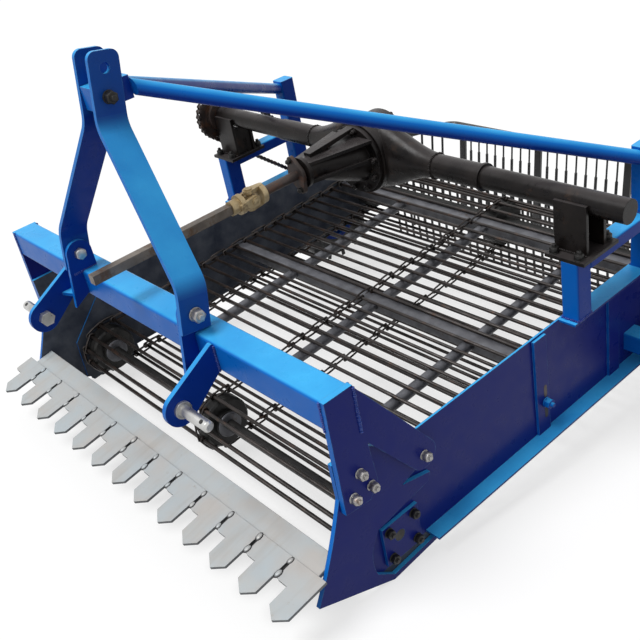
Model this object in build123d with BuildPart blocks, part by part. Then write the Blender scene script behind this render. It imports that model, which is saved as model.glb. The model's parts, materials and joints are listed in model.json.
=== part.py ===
# Potato digger for a tractor's three-point hitch, 1.5 m working width, standing parked.
# Millimetres. +X is the machine's left side, -Y the way it travels, +Z up, ground at Z = 0.
# Most pieces are drawn in the deck's own frame: across (X), along (rearward up the deck) and
# up (square to the deck). Along and up start near the front corner of the side panels.
import os
from math import cos, pi, radians, sin

from build123d import *

os.makedirs("parts", exist_ok=True)

# Stance
deck_rise = 7.2

# Layers across the machine, from the middle outwards
inner_half = 728.0
panel_wall = 6.0
shovel_wall = 12.0
leg_wall = 16.0

# Front beam, a square tube
beam_size = 80.0
beam_wall = 6.0
beam_corner = 8.0
beam_along = -174.0
beam_up = 167.0

# End brackets: a leg down to the shovel plate and an arm back to the panel
leg_foot_front = (-218.0, -101.0)
leg_foot_low = (-143.0, -108.0)
leg_foot_back = (-114.0, -70.0)
arm_bolt = (31.0, -100.0)
arm_end_radius = 40.0
arm_root_drop = 130.0
arm_root_round = 6.0

# Shovel plates
heel_along = -108.0
heel_up = -412.0
shovel_tip = (-334.0, -311.0)
shovel_hollow = (-272.0, -194.0)
shovel_brow = (-218.0, -64.0)
shovel_top = 36.0
shovel_top_back = -133.0
notch_top = (-49.0, -32.0)
notch_back = (24.0, -138.0)
notch_floor = (-37.0, -155.0)
tongue_tip = (57.0, -180.0)
tongue_under = (47.0, -203.0)
pocket_crown = (-128.0, -227.0)
pocket_brow = (-155.0, -274.0)
pocket_front = (-154.0, -355.0)
pocket_sill_front = (-104.0, -397.0)
pocket_sill_back = (43.0, -384.0)
shovel_rear = (46.0, -399.0)

# Blade and tines
blade_back = (-249.0, -223.0)
blade_slope = 10.4
blade_wall = 12.0
blade_depth = 135.0
tine_count = 13
tine_pitch = 117.6
tine_wall = 8.0
tine_head_width = 108.0
tine_finger_width = 70.0
tine_head_back = 62.0
tine_notch = 124.0
tine_reach = 202.0
tine_point = 24.0
tine_taper = 4.0
tine_corner = 8.0

# Side panels
panel_top = -45.0
panel_front = 36.0
panel_bottom = -365.0
panel_end = 1480.0
panel_toe = (-159.0, -243.0)
panel_toe_low = (-165.0, -380.0)
panel_sole_front = -20.0
panel_tail_drop = 190.0
panel_tail_cut = 130.0
sole_flange = 45.0
sole_front = 25.0
ledge_width = 52.0
ledge_front = 590.0
rib_width = 50.0
rib_wall = 8.0
rib_places = (500.0, 830.0)
arm_boss_radius = 25.0

# Rod web: rods linked into one endless loop round the front rollers and the rear sprockets
web_front = (-66.0, -295.0)
web_rear = (1240.0, -239.0)
web_radius = 85.0
rod_count = 63
rod_radius = 5.5
rod_side_gap = 22.0
link_radius_half = 4.0
link_width = 10.0
edge_chain_inset = 10.0
middle_chain = 9.0
middle_link_width = 7.0

# Rollers and shafts of the web
roller_clearance = 0.5
roller_side_gap = 50.0
roller_width = 50.0
roller_hub_radius = 44.0
roller_hub_width = 74.0
roller_edge = 6.0
star_notches = 11
star_notch_radius = 14.0
star_notch_place = 87.0
idler_shaft_radius = 16.0
rear_shaft_radius = 25.0
shaft_clearance = 0.3
idler_plate_size = 120.0
idler_plate_place = (-58.0, -302.0)
idler_plate_wall = 10.0
bearing_radius = 42.0
bearing_width = 34.0
bearing_flange = 112.0
bearing_flange_wall = 12.0
bearing_corner = 20.0

# Slide tubes under the upper run, welded between cross members
slide_places = (-355.0, 45.0, 445.0)
slide_radius = 17.0
slide_gap = 0.5
slide_front = 190.0
cross_size = 40.0
cross_corner = 5.0
cross_places = (632.0, 1185.0)

# Rear comb: upright bars on a cross bar right behind the web
comb_gap = 40.0
comb_beam_up = -150.0
comb_beam_size = 30.0
comb_bar_radius = 5.0
comb_bar_pitch = 40.0
comb_bar_low = -520.0
comb_side_gap = 30.0

# Bridges over the panels that carry the axle
post_width = 52.0
post_depth = 60.0
post_wall = 4.0
post_corner = 6.0
bridge_lead = 75.0
bridge_top = 125.0
rail_height = 40.0
upright_lag = 240.0
upright_top = 312.0

# Drive axle
axle_along = 680.0
axle_up = 265.0
axle_tube_radius = 35.0
axle_end_radius = 32.0
axle_left_overhang = 152.0
axle_right_overhang = 62.0
banjo_radius = 112.0
banjo_depth = 120.0
arm_sections = ((48.0, 56.0, 108.0), (110.0, 52.0, 88.0), (180.0, 44.0, 58.0), (264.0, 36.0, 36.0))
weld_ring_place = 432.0
weld_ring_width = 10.0
weld_ring_proud = 4.0
cover_radius = 92.0
cover_depth = 42.0

# Saddles
saddle_plate = 10.0
saddle_base_overlap = 46.0
saddle_base_reach = 72.0
saddle_base_length = 150.0
saddle_web_overlap = 38.0
saddle_web_reach = 58.0
saddle_web_top = 273.0

# Pinion carrier
pinion_up = 308.0
carrier_flange_radius = 104.0
carrier_flange_wall = 14.0
carrier_root_radius = 72.0
nose_radius = 38.0
nose_front = 395.0
nose_length = 45.0
nose_rim_radius = 46.0
nose_rim_wall = 12.0
fin_wall = 10.0
fin_rise = (28.0, -26.0)
fin_half = 86.0
fin_front_half = 36.0
brace_width = 28.0
brace_wall = 9.0
pinion_radius = 14.0
pinion_depth = 40.0

# Drive shaft
shaft_square = 25.0
shaft_front = -300.0
shaft_rear = 165.0
yoke_front = 138.0
yoke_collar_radius = 21.0
yoke_collar_length = 26.0
yoke_base_back = 178.0
joint_along = 208.0
ear_wall = 10.0
ear_half_gap = 19.0
ear_eye_radius = 16.0
ear_root_radius = 19.0
cross_pin_radius = 8.5
cross_body = 24.0
rear_yoke_front = 238.0
rear_yoke_back = 254.0
rear_neck_radius = 14.0
companion_radius = 34.0
companion_lobe = 44.0
companion_lobe_radius = 13.0
companion_turn = 20.0
companion_wall = 12.0
running_gap = 6.0

# Mast
mast_foot = (-204.0, 260.0)
mast_eye = (-114.0, 789.0)
mast_spread = 296.0
mast_neck = 32.0
mast_wall = 12.0
mast_width = 80.0
mast_below_foot = 44.0
mast_low_bend = 70.0
mast_high_bend = 405.0
mast_bend_radius = 70.0
mast_top_radius = 20.0
mast_above_eye = 40.0
eye_radius = 13.0
lug_wall = 12.0
lug_radius = 38.0
lug_toe = (-266.0, 111.0)
lug_heel = 140.0

# Lower hitch
hitch_pin = (-337.0, 93.0)
hitch_half = 352.0
hitch_plate_wall = 14.0
hitch_end_radius = 45.0
hitch_root_round = 6.0
hitch_pin_radius = 14.0
hitch_pin_length = 104.0
hitch_collar_radius = 22.0
hitch_collar_width = 8.0
hitch_nut_radius = 22.0
hitch_nut_width = 18.0
hitch_pin_chamfer = 5.0
hitch_gusset_up = 130.0
hitch_gusset_wall = 10.0
hitch_gusset_reach = 52.0

# Stays from the mast to the rear uprights
stay_radius = 19.0
stay_bolt = (-126.0, 725.0)
stay_block_half = 25.0
stay_block_height = 56.0
stay_block_front = -160.0
stay_block_rear = -56.0
stay_start = 30.0
stay_end_up = 284.0

# Drive chain on the right side
sprocket_offset = 84.0
sprocket_wall = 10.0
chain_pitch = 19.05
axle_teeth = 29
web_teeth = 19
chain_roller_radius = 6.0
tooth_height = 5.0
chain_half = 8.5
chain_plate_wall = 2.5
chain_plate_gap = 0.6
hub_radius = 58.0

# Rear fence
fence_top = (1745.0, -150.0)
fence_rail_radius = 13.0
fence_wing_spread = 56.0
fence_wing_run = 320.0
fence_bar_radius = 5.0
fence_bar_pitch = 56.0
fence_bar_length = 420.0
fence_post_width = 30.0
fence_post_depth = 14.0
fence_post_count = 4
fence_post_share = 0.875
fence_bend = 50.0
fence_wing_bars = (0.16, 0.33, 0.5, 0.67)

# Ground wheels
wheel_radius = 200.0
wheel_along = 1150.0
wheel_offset = 112.0
wheel_width = 100.0
lug_count = 15
lug_height = 9.0
lug_thick = 15.0
lug_reach = 62.0
lug_inset = 20.0
lug_slant = 38.0
tyre_shoulder = 30.0
rim_lip = 9.0
rim_lip_wall = 5.0
tyre_seat_radius = 110.0
rim_wall = 5.0
hub_outer_radius = 32.0
wheel_pin_radius = 15.0
wheel_arm_wall = 14.0
wheel_arm_width = 60.0
socket_size = 60.0
socket_place = (920.0, -290.0)
wheel_side_gap = 4.0
wheel_cap_radius = 24.0
wheel_cap_width = 6.0

# Worked out from the values above
rise = radians(deck_rise)
panel_outer = inner_half
panel_inner = inner_half - panel_wall
beam_half = inner_half + shovel_wall
rod_half = panel_inner - rod_side_gap
edge_chain = rod_half - edge_chain_inset
roller_half = panel_inner - roller_side_gap
fence_half = panel_outer - fence_wing_spread
sprocket_inner = panel_outer + sprocket_offset
axle_left_end = panel_outer + axle_left_overhang
axle_right_end = panel_outer + axle_right_overhang
wheel_inner = panel_outer + wheel_offset
bridge_front = axle_along - bridge_lead
upright_front = axle_along + upright_lag


def reach(along, up):
    return along * cos(rise) - up * sin(rise)


def height(along, up):
    return along * sin(rise) + up * cos(rise)


ground = height(heel_along, heel_up)
slope = radians(blade_slope)
tine_tip = (blade_back[0] - tine_reach * cos(slope), blade_back[1] - tine_reach * sin(slope))
front_most = reach(*tine_tip)
rear_most = reach(*fence_top) + fence_rail_radius
middle = (front_most + rear_most) / 2


def deck_point(across, along, up):
    return Vector(across, reach(along, up) - middle, height(along, up) - ground)


def side_plane(across):
    return Plane(origin=deck_point(across, 0, 0), x_dir=(0, cos(rise), sin(rise)), z_dir=(1, 0, 0))


def front_plane(along):
    return Plane(origin=deck_point(0, along, 0), x_dir=(1, 0, 0), z_dir=(0, -cos(rise), -sin(rise)))


def deck_plane(up):
    return Plane(origin=deck_point(0, 0, up), x_dir=(1, 0, 0), z_dir=(0, -sin(rise), cos(rise)))


def keep(solid, name):
    solid.label = name
    export_step(solid, f"parts/{name}.step")


def keep_pair(solid, name):
    keep(solid, f"{name}_left")
    with BuildPart() as other_side:
        mirror(solid, about=Plane.YZ)
    keep(other_side.part, f"{name}_right")


# Front beam
with BuildPart() as front_beam:
    with BuildSketch(side_plane(-beam_half)):
        with Locations((beam_along, beam_up)):
            RectangleRounded(beam_size, beam_size, beam_corner)
            RectangleRounded(beam_size - 2 * beam_wall, beam_size - 2 * beam_wall,
                             beam_corner - beam_wall, mode=Mode.SUBTRACT)
    extrude(amount=2 * beam_half)
keep(front_beam.part, "front_beam")

# End brackets, bolted to the outside of the shovel plates
beam_top = beam_up + beam_size / 2
beam_low = beam_up - beam_size / 2
beam_front = beam_along - beam_size / 2
beam_back = beam_along + beam_size / 2
with BuildPart() as end_bracket:
    with BuildSketch(side_plane(beam_half)):
        with BuildLine():
            Polyline((beam_front, beam_top), (beam_back, beam_top), leg_foot_back, leg_foot_low,
                     leg_foot_front, close=True)
        make_face()
    extrude(amount=leg_wall)
    with BuildSketch(side_plane(beam_half)):
        with Locations(arm_bolt):
            Circle(arm_end_radius)
        with Locations((beam_back - arm_root_round, beam_top - arm_root_round),
                       (beam_back - arm_root_round, beam_top - arm_root_drop)):
            Circle(arm_root_round)
        make_hull()
    extrude(amount=leg_wall)
keep_pair(end_bracket.part, "end_bracket")

# Shovel plates
with BuildPart() as shovel_plate:
    with BuildSketch(side_plane(inner_half)):
        with BuildLine():
            Polyline(shovel_brow, (shovel_brow[0], shovel_top), (shovel_top_back, shovel_top),
                     notch_top, notch_back, notch_floor, tongue_tip, tongue_under, pocket_crown)
            ThreePointArc(pocket_crown, pocket_brow, pocket_front)
            Polyline(pocket_front, pocket_sill_front, pocket_sill_back, shovel_rear,
                     (heel_along, heel_up), shovel_tip)
            ThreePointArc(shovel_tip, shovel_hollow, shovel_brow)
        make_face()
    extrude(amount=shovel_wall)
keep_pair(shovel_plate.part, "shovel_plate")

# Blade and its tines
blade_along_dir = deck_point(0, cos(slope), sin(slope)) - deck_point(0, 0, 0)
blade_top_plane = Plane(origin=deck_point(0, *blade_back), x_dir=(1, 0, 0),
                        z_dir=Vector(1, 0, 0).cross(blade_along_dir))
with BuildPart() as blade:
    with BuildSketch(blade_top_plane):
        with Locations((0, -blade_depth / 2)):
            Rectangle(2 * inner_half, blade_depth)
    extrude(amount=-blade_wall)
keep(blade.part, "blade")

head = tine_head_width / 2
finger = head - tine_finger_width
with BuildSketch() as tine_outline:
    with BuildLine():
        Polyline((-head, -tine_notch + tine_corner), (-head, -tine_head_back), (head, -tine_head_back),
                 (head - tine_taper, -tine_reach + tine_point), ((head + finger) / 2, -tine_reach),
                 (finger, -tine_reach + tine_point), (finger, -tine_notch),
                 (-head + tine_corner, -tine_notch))
        TangentArc((-head + tine_corner, -tine_notch), (-head, -tine_notch + tine_corner), tangent=(-1, 0))
    make_face()
with BuildPart() as tines:
    with BuildSketch(blade_top_plane):
        with GridLocations(tine_pitch, 1, tine_count, 1):
            add(tine_outline.sketch)
    extrude(amount=tine_wall)
keep(tines.part, "tines")

# Side panels with an out-turned sole, a ledge for the bridge and strap ribs
with BuildPart() as side_panel:
    with BuildSketch(side_plane(panel_inner)):
        with BuildLine():
            Polyline((panel_front, panel_top), (panel_end, panel_top),
                     (panel_end, panel_top - panel_tail_drop), (panel_end - panel_tail_cut, panel_bottom),
                     (panel_sole_front, panel_bottom), panel_toe_low, panel_toe, close=True)
        make_face()
        with Locations(web_front):
            Circle(idler_shaft_radius, mode=Mode.SUBTRACT)
        with Locations(web_rear):
            Circle(rear_shaft_radius + shaft_clearance, mode=Mode.SUBTRACT)
    extrude(amount=panel_wall)
    sole_end = panel_end - panel_tail_cut
    with BuildSketch(side_plane(panel_outer)):
        with Locations(((sole_front + sole_end) / 2, panel_bottom + panel_wall / 2)):
            Rectangle(sole_end - sole_front, panel_wall)
    extrude(amount=sole_flange)
    with BuildSketch(side_plane(panel_outer)):
        with Locations(((ledge_front + panel_end) / 2, panel_top - panel_wall / 2)):
            Rectangle(panel_end - ledge_front, panel_wall)
    extrude(amount=ledge_width)
    with BuildSketch(side_plane(panel_outer)):
        with Locations([(place, (panel_top + panel_bottom) / 2) for place in rib_places]):
            Rectangle(rib_width, panel_top - panel_bottom - 2 * panel_wall)
    extrude(amount=rib_wall)
    with BuildSketch(side_plane(panel_outer)):
        with Locations(arm_bolt):
            Circle(arm_boss_radius)
    extrude(amount=shovel_wall)
keep_pair(side_panel.part, "side_panel")

# Rod web
front_axis = deck_point(0, *web_front)
run = (deck_point(0, *web_rear) - front_axis).length
run_dir = (deck_point(0, *web_rear) - front_axis).normalized()
loop_length = 2 * run + 2 * pi * web_radius


def web_plane(across):
    # Along the run from the front rollers' axis, and square to it
    return Plane(origin=front_axis + Vector(across, 0, 0), x_dir=run_dir, z_dir=(1, 0, 0))


def web_cross_plane(distance):
    # Square across the run, facing forward
    return Plane(origin=front_axis + run_dir * distance, x_dir=(1, 0, 0), z_dir=run_dir * -1)


def web_place(distance):
    turn = pi * web_radius
    if distance < run:
        return (distance, web_radius)
    if distance < run + turn:
        angle = pi / 2 - (distance - run) / web_radius
        return (run + web_radius * cos(angle), web_radius * sin(angle))
    if distance < 2 * run + turn:
        return (2 * run + turn - distance, -web_radius)
    angle = -pi / 2 - (distance - 2 * run - turn) / web_radius
    return (web_radius * cos(angle), web_radius * sin(angle))


rod_places = [web_place(loop_length * k / rod_count) for k in range(rod_count)]
chain_strips = ((-edge_chain, link_width), (-middle_chain, middle_link_width),
                (middle_chain, middle_link_width), (edge_chain, link_width))
with BuildPart() as rod_web:
    with BuildSketch(web_plane(-rod_half)):
        with Locations(rod_places):
            Circle(rod_radius)
    extrude(amount=2 * rod_half)
    for place, width in chain_strips:
        with BuildSketch(web_plane(place - width / 2)):
            with Locations((run / 2, 0)):
                SlotCenterToCenter(run, 2 * (web_radius + link_radius_half))
                SlotCenterToCenter(run, 2 * (web_radius - link_radius_half), mode=Mode.SUBTRACT)
        extrude(amount=width)
keep(rod_web.part, "rod_web")

# Front rollers on their shaft, held by a bolted plate on each panel
roller_radius = web_radius - rod_radius - roller_clearance
with BuildPart() as front_rollers:
    with BuildSketch(side_plane(-panel_outer - idler_plate_wall)):
        with Locations(web_front):
            Circle(idler_shaft_radius - shaft_clearance)
    extrude(amount=2 * (panel_outer + idler_plate_wall))
    for place in (-roller_half, 0, roller_half):
        with BuildSketch(side_plane(place - roller_width / 2)):
            with Locations(web_front):
                Circle(roller_radius)
        extrude(amount=roller_width)
        rims = front_rollers.edges().filter_by(GeomType.CIRCLE)
        chamfer(rims.filter_by(lambda rim: rim.radius == roller_radius).sort_by(Axis.X)[-2:], roller_edge)
        with BuildSketch(side_plane(place - roller_hub_width / 2)):
            with Locations(web_front):
                Circle(roller_hub_radius)
        extrude(amount=roller_hub_width)
keep(front_rollers.part, "front_rollers")

with BuildPart() as idler_plate:
    with BuildSketch(side_plane(panel_outer)):
        with Locations(idler_plate_place):
            Rectangle(idler_plate_size, idler_plate_size)
        with Locations(web_front):
            Circle(idler_shaft_radius, mode=Mode.SUBTRACT)
    extrude(amount=idler_plate_wall)
keep_pair(idler_plate.part, "idler_plate")

# Rear web shaft with its sprockets, in flange bearings
with BuildPart() as rear_shaft:
    with BuildSketch(side_plane(-sprocket_inner)):
        with Locations(web_rear):
            Circle(rear_shaft_radius)
    extrude(amount=sprocket_inner + panel_outer + bearing_width)
    for place in (-roller_half, 0, roller_half):
        with BuildSketch(side_plane(place - roller_width / 2)):
            with Locations(web_rear):
                Circle(roller_radius)
                with PolarLocations(star_notch_place, star_notches):
                    Circle(star_notch_radius, mode=Mode.SUBTRACT)
        extrude(amount=roller_width)
keep(rear_shaft.part, "rear_shaft")

with BuildPart() as shaft_bearing:
    with BuildSketch(side_plane(panel_outer)):
        with Locations(web_rear):
            RectangleRounded(bearing_flange, bearing_flange, bearing_corner)
            Circle(rear_shaft_radius + shaft_clearance, mode=Mode.SUBTRACT)
    extrude(amount=bearing_flange_wall)
    with BuildSketch(side_plane(panel_outer + bearing_flange_wall)):
        with Locations(web_rear):
            Circle(bearing_radius)
            Circle(rear_shaft_radius + shaft_clearance, mode=Mode.SUBTRACT)
    extrude(amount=bearing_width - bearing_flange_wall)
keep_pair(shaft_bearing.part, "shaft_bearing")


# Cross members inside the web loop, and the slide tubes between them
under_rods = web_radius - rod_radius - slide_gap
with BuildPart() as cross_members:
    with BuildSketch(web_plane(-panel_inner)):
        with Locations([(place, under_rods - cross_size / 2) for place in cross_places]):
            RectangleRounded(cross_size, cross_size, cross_corner)
    extrude(amount=2 * panel_inner)
keep(cross_members.part, "cross_members")

slide_spans = ((slide_front, cross_places[0] - cross_size / 2),
               (cross_places[0] + cross_size / 2, cross_places[1] - cross_size / 2))
with BuildPart() as slide_tubes:
    for start, end in slide_spans:
        with BuildSketch(web_cross_plane(start)):
            with Locations([(place, under_rods - slide_radius) for place in slide_places]):
                Circle(slide_radius)
        extrude(amount=start - end)
keep(slide_tubes.part, "slide_tubes")

# Rear comb
comb_along = web_rear[0] + web_radius + comb_gap
comb_half_count = int((panel_inner - comb_side_gap) // comb_bar_pitch)
comb_row = [k * comb_bar_pitch for k in range(-comb_half_count, comb_half_count + 1)]
with BuildPart() as rear_comb:
    with BuildSketch(side_plane(-panel_inner)):
        with Locations((comb_along, comb_beam_up)):
            Rectangle(comb_beam_size, comb_beam_size)
    extrude(amount=2 * panel_inner)
    with BuildSketch(deck_plane(comb_bar_low)):
        with Locations([(across, comb_along) for across in comb_row]):
            Circle(comb_bar_radius)
    extrude(amount=panel_top - comb_bar_low)
keep(rear_comb.part, "rear_comb")


# Bridges: a front post, a top rail and a rear upright on each panel's ledge
def hollow_bar(plane, centre, size_x, size_y):
    with BuildSketch(plane) as tube:
        with Locations(centre):
            RectangleRounded(size_x, size_y, post_corner)
            RectangleRounded(size_x - 2 * post_wall, size_y - 2 * post_wall,
                             post_corner - post_wall, mode=Mode.SUBTRACT)
    return tube.sketch


post_across = panel_outer + post_width / 2
with BuildPart() as bridge_post:
    section = hollow_bar(deck_plane(panel_top), (post_across, bridge_front + post_depth / 2),
                         post_width, post_depth)
    extrude(section, amount=bridge_top - panel_top)
    with BuildSketch(deck_plane(bridge_top - post_wall)):
        with Locations((post_across, bridge_front + post_depth / 2)):
            RectangleRounded(post_width, post_depth, post_corner)
    extrude(amount=post_wall)
keep_pair(bridge_post.part, "bridge_post")

with BuildPart() as bridge_rail:
    rail_front = bridge_front + post_depth
    section = hollow_bar(front_plane(rail_front), (post_across, bridge_top - rail_height / 2),
                         post_width, rail_height)
    extrude(section, amount=rail_front - upright_front)
keep_pair(bridge_rail.part, "bridge_rail")

with BuildPart() as rear_upright:
    section = hollow_bar(deck_plane(panel_top), (post_across, upright_front + post_depth / 2),
                         post_width, post_depth)
    extrude(section, amount=upright_top - panel_top)
    with BuildSketch(deck_plane(upright_top - post_wall)):
        with Locations((post_across, upright_front + post_depth / 2)):
            RectangleRounded(post_width, post_depth, post_corner)
    extrude(amount=post_wall)
keep_pair(rear_upright.part, "rear_upright")

# Drive axle: straight tubes, tapered arms and the banjo
axle_place = (axle_along, axle_up)
with BuildPart() as axle_housing:
    with BuildSketch(side_plane(-axle_right_end)):
        with Locations(axle_place):
            Circle(axle_end_radius)
    extrude(amount=axle_left_end + axle_right_end)
    with BuildSketch(side_plane(-weld_ring_place)):
        with Locations(axle_place):
            Circle(axle_tube_radius)
    extrude(amount=2 * weld_ring_place)
    for sign in (-1, 1):
        for across, depth, tall in arm_sections:
            with BuildSketch(side_plane(sign * across)):
                with Locations(axle_place):
                    Ellipse(depth, tall)
        loft()
    with BuildSketch(front_plane(axle_along - banjo_depth / 2)):
        with Locations((0, axle_up)):
            Circle(banjo_radius)
    extrude(amount=-banjo_depth)
    with BuildSketch(side_plane(weld_ring_place)):
        with Locations(axle_place):
            Circle(axle_tube_radius + weld_ring_proud)
    extrude(amount=weld_ring_width)
keep(axle_housing.part, "axle_housing")

cover_plane = front_plane(axle_along + banjo_depth / 2)
with BuildPart() as axle_cover:
    with BuildSketch(side_plane(0)):
        with BuildLine():
            cover_back = axle_along + banjo_depth / 2
            Polyline((cover_back + cover_depth, axle_up), (cover_back, axle_up),
                     (cover_back, axle_up + cover_radius))
            TangentArc((cover_back + cover_depth, axle_up), (cover_back, axle_up + cover_radius),
                       tangent=(0, 1))
        make_face()
    revolve(axis=Axis(deck_point(0, axle_along, axle_up), cover_plane.z_dir))
keep(axle_cover.part, "axle_cover")

# Pinion carrier with its ribs
carrier_back = axle_along - banjo_depth / 2
flange_front = carrier_back - carrier_flange_wall
nose_back = nose_front + nose_length
fin_front = nose_front + nose_rim_wall
with BuildPart() as pinion_carrier:
    with BuildSketch(front_plane(flange_front)):
        with Locations((0, axle_up)):
            Circle(carrier_flange_radius)
    extrude(amount=-carrier_flange_wall)
    with BuildSketch(front_plane(flange_front)):
        with Locations((0, axle_up)):
            Circle(carrier_root_radius)
    with BuildSketch(front_plane(nose_back)):
        with Locations((0, pinion_up)):
            Circle(nose_radius)
    loft()
    with BuildSketch(front_plane(nose_front)):
        with Locations((0, pinion_up)):
            Circle(nose_radius)
    extrude(amount=-nose_length)
    with BuildSketch(front_plane(nose_front)):
        with Locations((0, pinion_up)):
            Circle(nose_rim_radius)
    extrude(amount=-nose_rim_wall)
    for rise_up in fin_rise:
        with BuildSketch(deck_plane(pinion_up + rise_up - fin_wall / 2)):
            with BuildLine():
                Polyline((-fin_front_half, fin_front), (fin_front_half, fin_front),
                         (fin_half, flange_front), (-fin_half, flange_front), close=True)
            make_face()
        extrude(amount=fin_wall)
    with BuildSketch(side_plane(-brace_width / 2)):
        with BuildLine():
            Polyline((nose_back - brace_wall, pinion_up + nose_radius - brace_wall),
                     (flange_front, axle_up + carrier_flange_radius - brace_wall),
                     (flange_front, axle_up + carrier_flange_radius),
                     (nose_back - brace_wall, pinion_up + nose_radius + brace_wall), close=True)
        make_face()
    extrude(amount=brace_width)
    with BuildSketch(front_plane(nose_front)):
        with Locations((0, pinion_up)):
            Circle(pinion_radius + shaft_clearance)
    extrude(amount=-pinion_depth, mode=Mode.SUBTRACT)
keep(pinion_carrier.part, "pinion_carrier")

# Saddles between the bridges and the axle tubes
saddle_middle = axle_along
saddle_web_front = axle_along - axle_end_radius - saddle_plate
saddle_base_inner = panel_outer - saddle_base_overlap
saddle_base_outer = panel_outer + saddle_base_reach
saddle_web_inner = panel_outer - saddle_web_overlap
saddle_web_outer = panel_outer + saddle_web_reach
with BuildPart() as saddle:
    with BuildSketch(deck_plane(bridge_top)):
        with Locations(((saddle_base_inner + saddle_base_outer) / 2, saddle_middle)):
            Rectangle(saddle_base_outer - saddle_base_inner, saddle_base_length)
    extrude(amount=saddle_plate)
    web_across = (saddle_web_inner + saddle_web_outer) / 2
    with BuildSketch(deck_plane(bridge_top + saddle_plate)):
        with Locations((web_across, saddle_web_front + saddle_plate / 2),
                       (web_across, axle_along + axle_end_radius + saddle_plate / 2)):
            Rectangle(saddle_web_outer - saddle_web_inner, saddle_plate)
    extrude(amount=saddle_web_top - bridge_top - saddle_plate)
keep_pair(saddle.part, "saddle")

# Drive shaft: a square bar and a universal joint to the pinion
with BuildPart() as square_shaft:
    with BuildSketch(front_plane(shaft_front)):
        with Locations((0, pinion_up)):
            Rectangle(shaft_square, shaft_square)
    extrude(amount=shaft_front - shaft_rear)
keep(square_shaft.part, "square_shaft")

ear_outside = ear_half_gap + ear_wall
with BuildPart() as shaft_yoke:
    with BuildSketch(front_plane(yoke_front)):
        with Locations((0, pinion_up)):
            Circle(yoke_collar_radius)
    extrude(amount=-yoke_collar_length)
    with BuildSketch(front_plane(yoke_front + yoke_collar_length)):
        with Locations((0, pinion_up)):
            Circle(ear_outside)
    extrude(amount=yoke_front + yoke_collar_length - yoke_base_back)
    for across in (-ear_outside, ear_half_gap):
        with BuildSketch(side_plane(across)):
            with Locations((joint_along, pinion_up)):
                Circle(ear_eye_radius)
            with Locations((yoke_base_back - ear_wall, pinion_up)):
                Circle(ear_root_radius - ear_wall)
            make_hull()
        extrude(amount=ear_wall)
    with BuildSketch(front_plane(yoke_front)):
        with Locations((0, pinion_up)):
            Rectangle(shaft_square + 2 * shaft_clearance, shaft_square + 2 * shaft_clearance)
    extrude(amount=yoke_front - shaft_rear, mode=Mode.SUBTRACT)
keep(shaft_yoke.part, "shaft_yoke")

with BuildPart() as joint_cross:
    with BuildSketch(side_plane(-cross_body / 2)):
        with Locations((joint_along, pinion_up)):
            Rectangle(cross_body, cross_body)
    extrude(amount=cross_body)
    with BuildSketch(side_plane(-ear_half_gap)):
        with Locations((joint_along, pinion_up)):
            Circle(cross_pin_radius)
    extrude(amount=2 * ear_half_gap)
    with BuildSketch(deck_plane(pinion_up - ear_half_gap)):
        with Locations((0, joint_along)):
            Circle(cross_pin_radius)
    extrude(amount=2 * ear_half_gap)
keep(joint_cross.part, "joint_cross")

companion_back = nose_front - running_gap
companion_front = companion_back - companion_wall
with BuildPart() as pinion_yoke:
    for up in (pinion_up - ear_outside, pinion_up + ear_half_gap):
        with BuildSketch(deck_plane(up)):
            with Locations((0, joint_along)):
                Circle(ear_eye_radius)
            with Locations((0, rear_yoke_front + ear_wall)):
                Circle(ear_root_radius - ear_wall)
            make_hull()
        extrude(amount=ear_wall)
    with BuildSketch(front_plane(rear_yoke_front)):
        with Locations((0, pinion_up)):
            Circle(ear_outside)
    extrude(amount=rear_yoke_front - rear_yoke_back)
keep(pinion_yoke.part, "pinion_yoke")

with BuildPart() as companion_flange:
    with BuildSketch(front_plane(rear_yoke_back)):
        with Locations((0, pinion_up)):
            Circle(rear_neck_radius)
    extrude(amount=rear_yoke_back - companion_front)
    with BuildSketch(front_plane(companion_front)):
        with Locations(Location((0, pinion_up, 0), (0, 0, companion_turn))):
            Circle(companion_radius)
            with Locations((0, companion_lobe), (0, -companion_lobe)):
                Circle(companion_lobe_radius)
        make_hull()
    extrude(amount=-companion_wall)
    with BuildSketch(front_plane(companion_back)):
        with Locations((0, pinion_up)):
            Circle(pinion_radius)
    extrude(amount=-pinion_depth)
keep(companion_flange.part, "companion_flange")

# Mast: two flat bars that splay from the top-link eye to lugs on the beam
mast_up_dir = deck_point(0, *mast_eye) - deck_point(0, *mast_foot)
mast_height = mast_up_dir.length
mast_plane = Plane(origin=deck_point(0, *mast_foot), x_dir=(1, 0, 0),
                   z_dir=Vector(1, 0, 0).cross(mast_up_dir))
with BuildPart() as mast_bar:
    with BuildSketch(mast_plane):
        with BuildLine():
            FilletPolyline((mast_spread, -mast_below_foot), (mast_spread, mast_low_bend),
                           (mast_neck, mast_high_bend), (mast_neck, mast_height + mast_above_eye),
                           radius=mast_bend_radius)
        trace(line_width=mast_wall)
    extrude(amount=mast_width / 2, both=True)
    top_edges = mast_bar.edges().filter_by(Axis.X).sort_by(Axis.Z)[-2:]
    fillet(top_edges, mast_top_radius)
    with BuildSketch(side_plane(0)):
        with Locations(mast_eye):
            Circle(eye_radius)
    extrude(amount=2 * mast_neck, mode=Mode.SUBTRACT)
keep_pair(mast_bar.part, "mast_bar")

with BuildPart() as mast_lug:
    with BuildSketch(side_plane(mast_spread - mast_wall / 2 - lug_wall)):
        with BuildLine():
            Polyline((mast_foot[0] - lug_radius, mast_foot[1]), lug_toe, (beam_front, lug_heel),
                     (beam_front, beam_top), (mast_foot[0] + lug_radius, beam_top),
                     (mast_foot[0] + lug_radius, mast_foot[1]), close=True)
        make_face()
        with Locations(mast_foot):
            Circle(lug_radius)
    extrude(amount=lug_wall)
keep_pair(mast_lug.part, "mast_lug")

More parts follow.
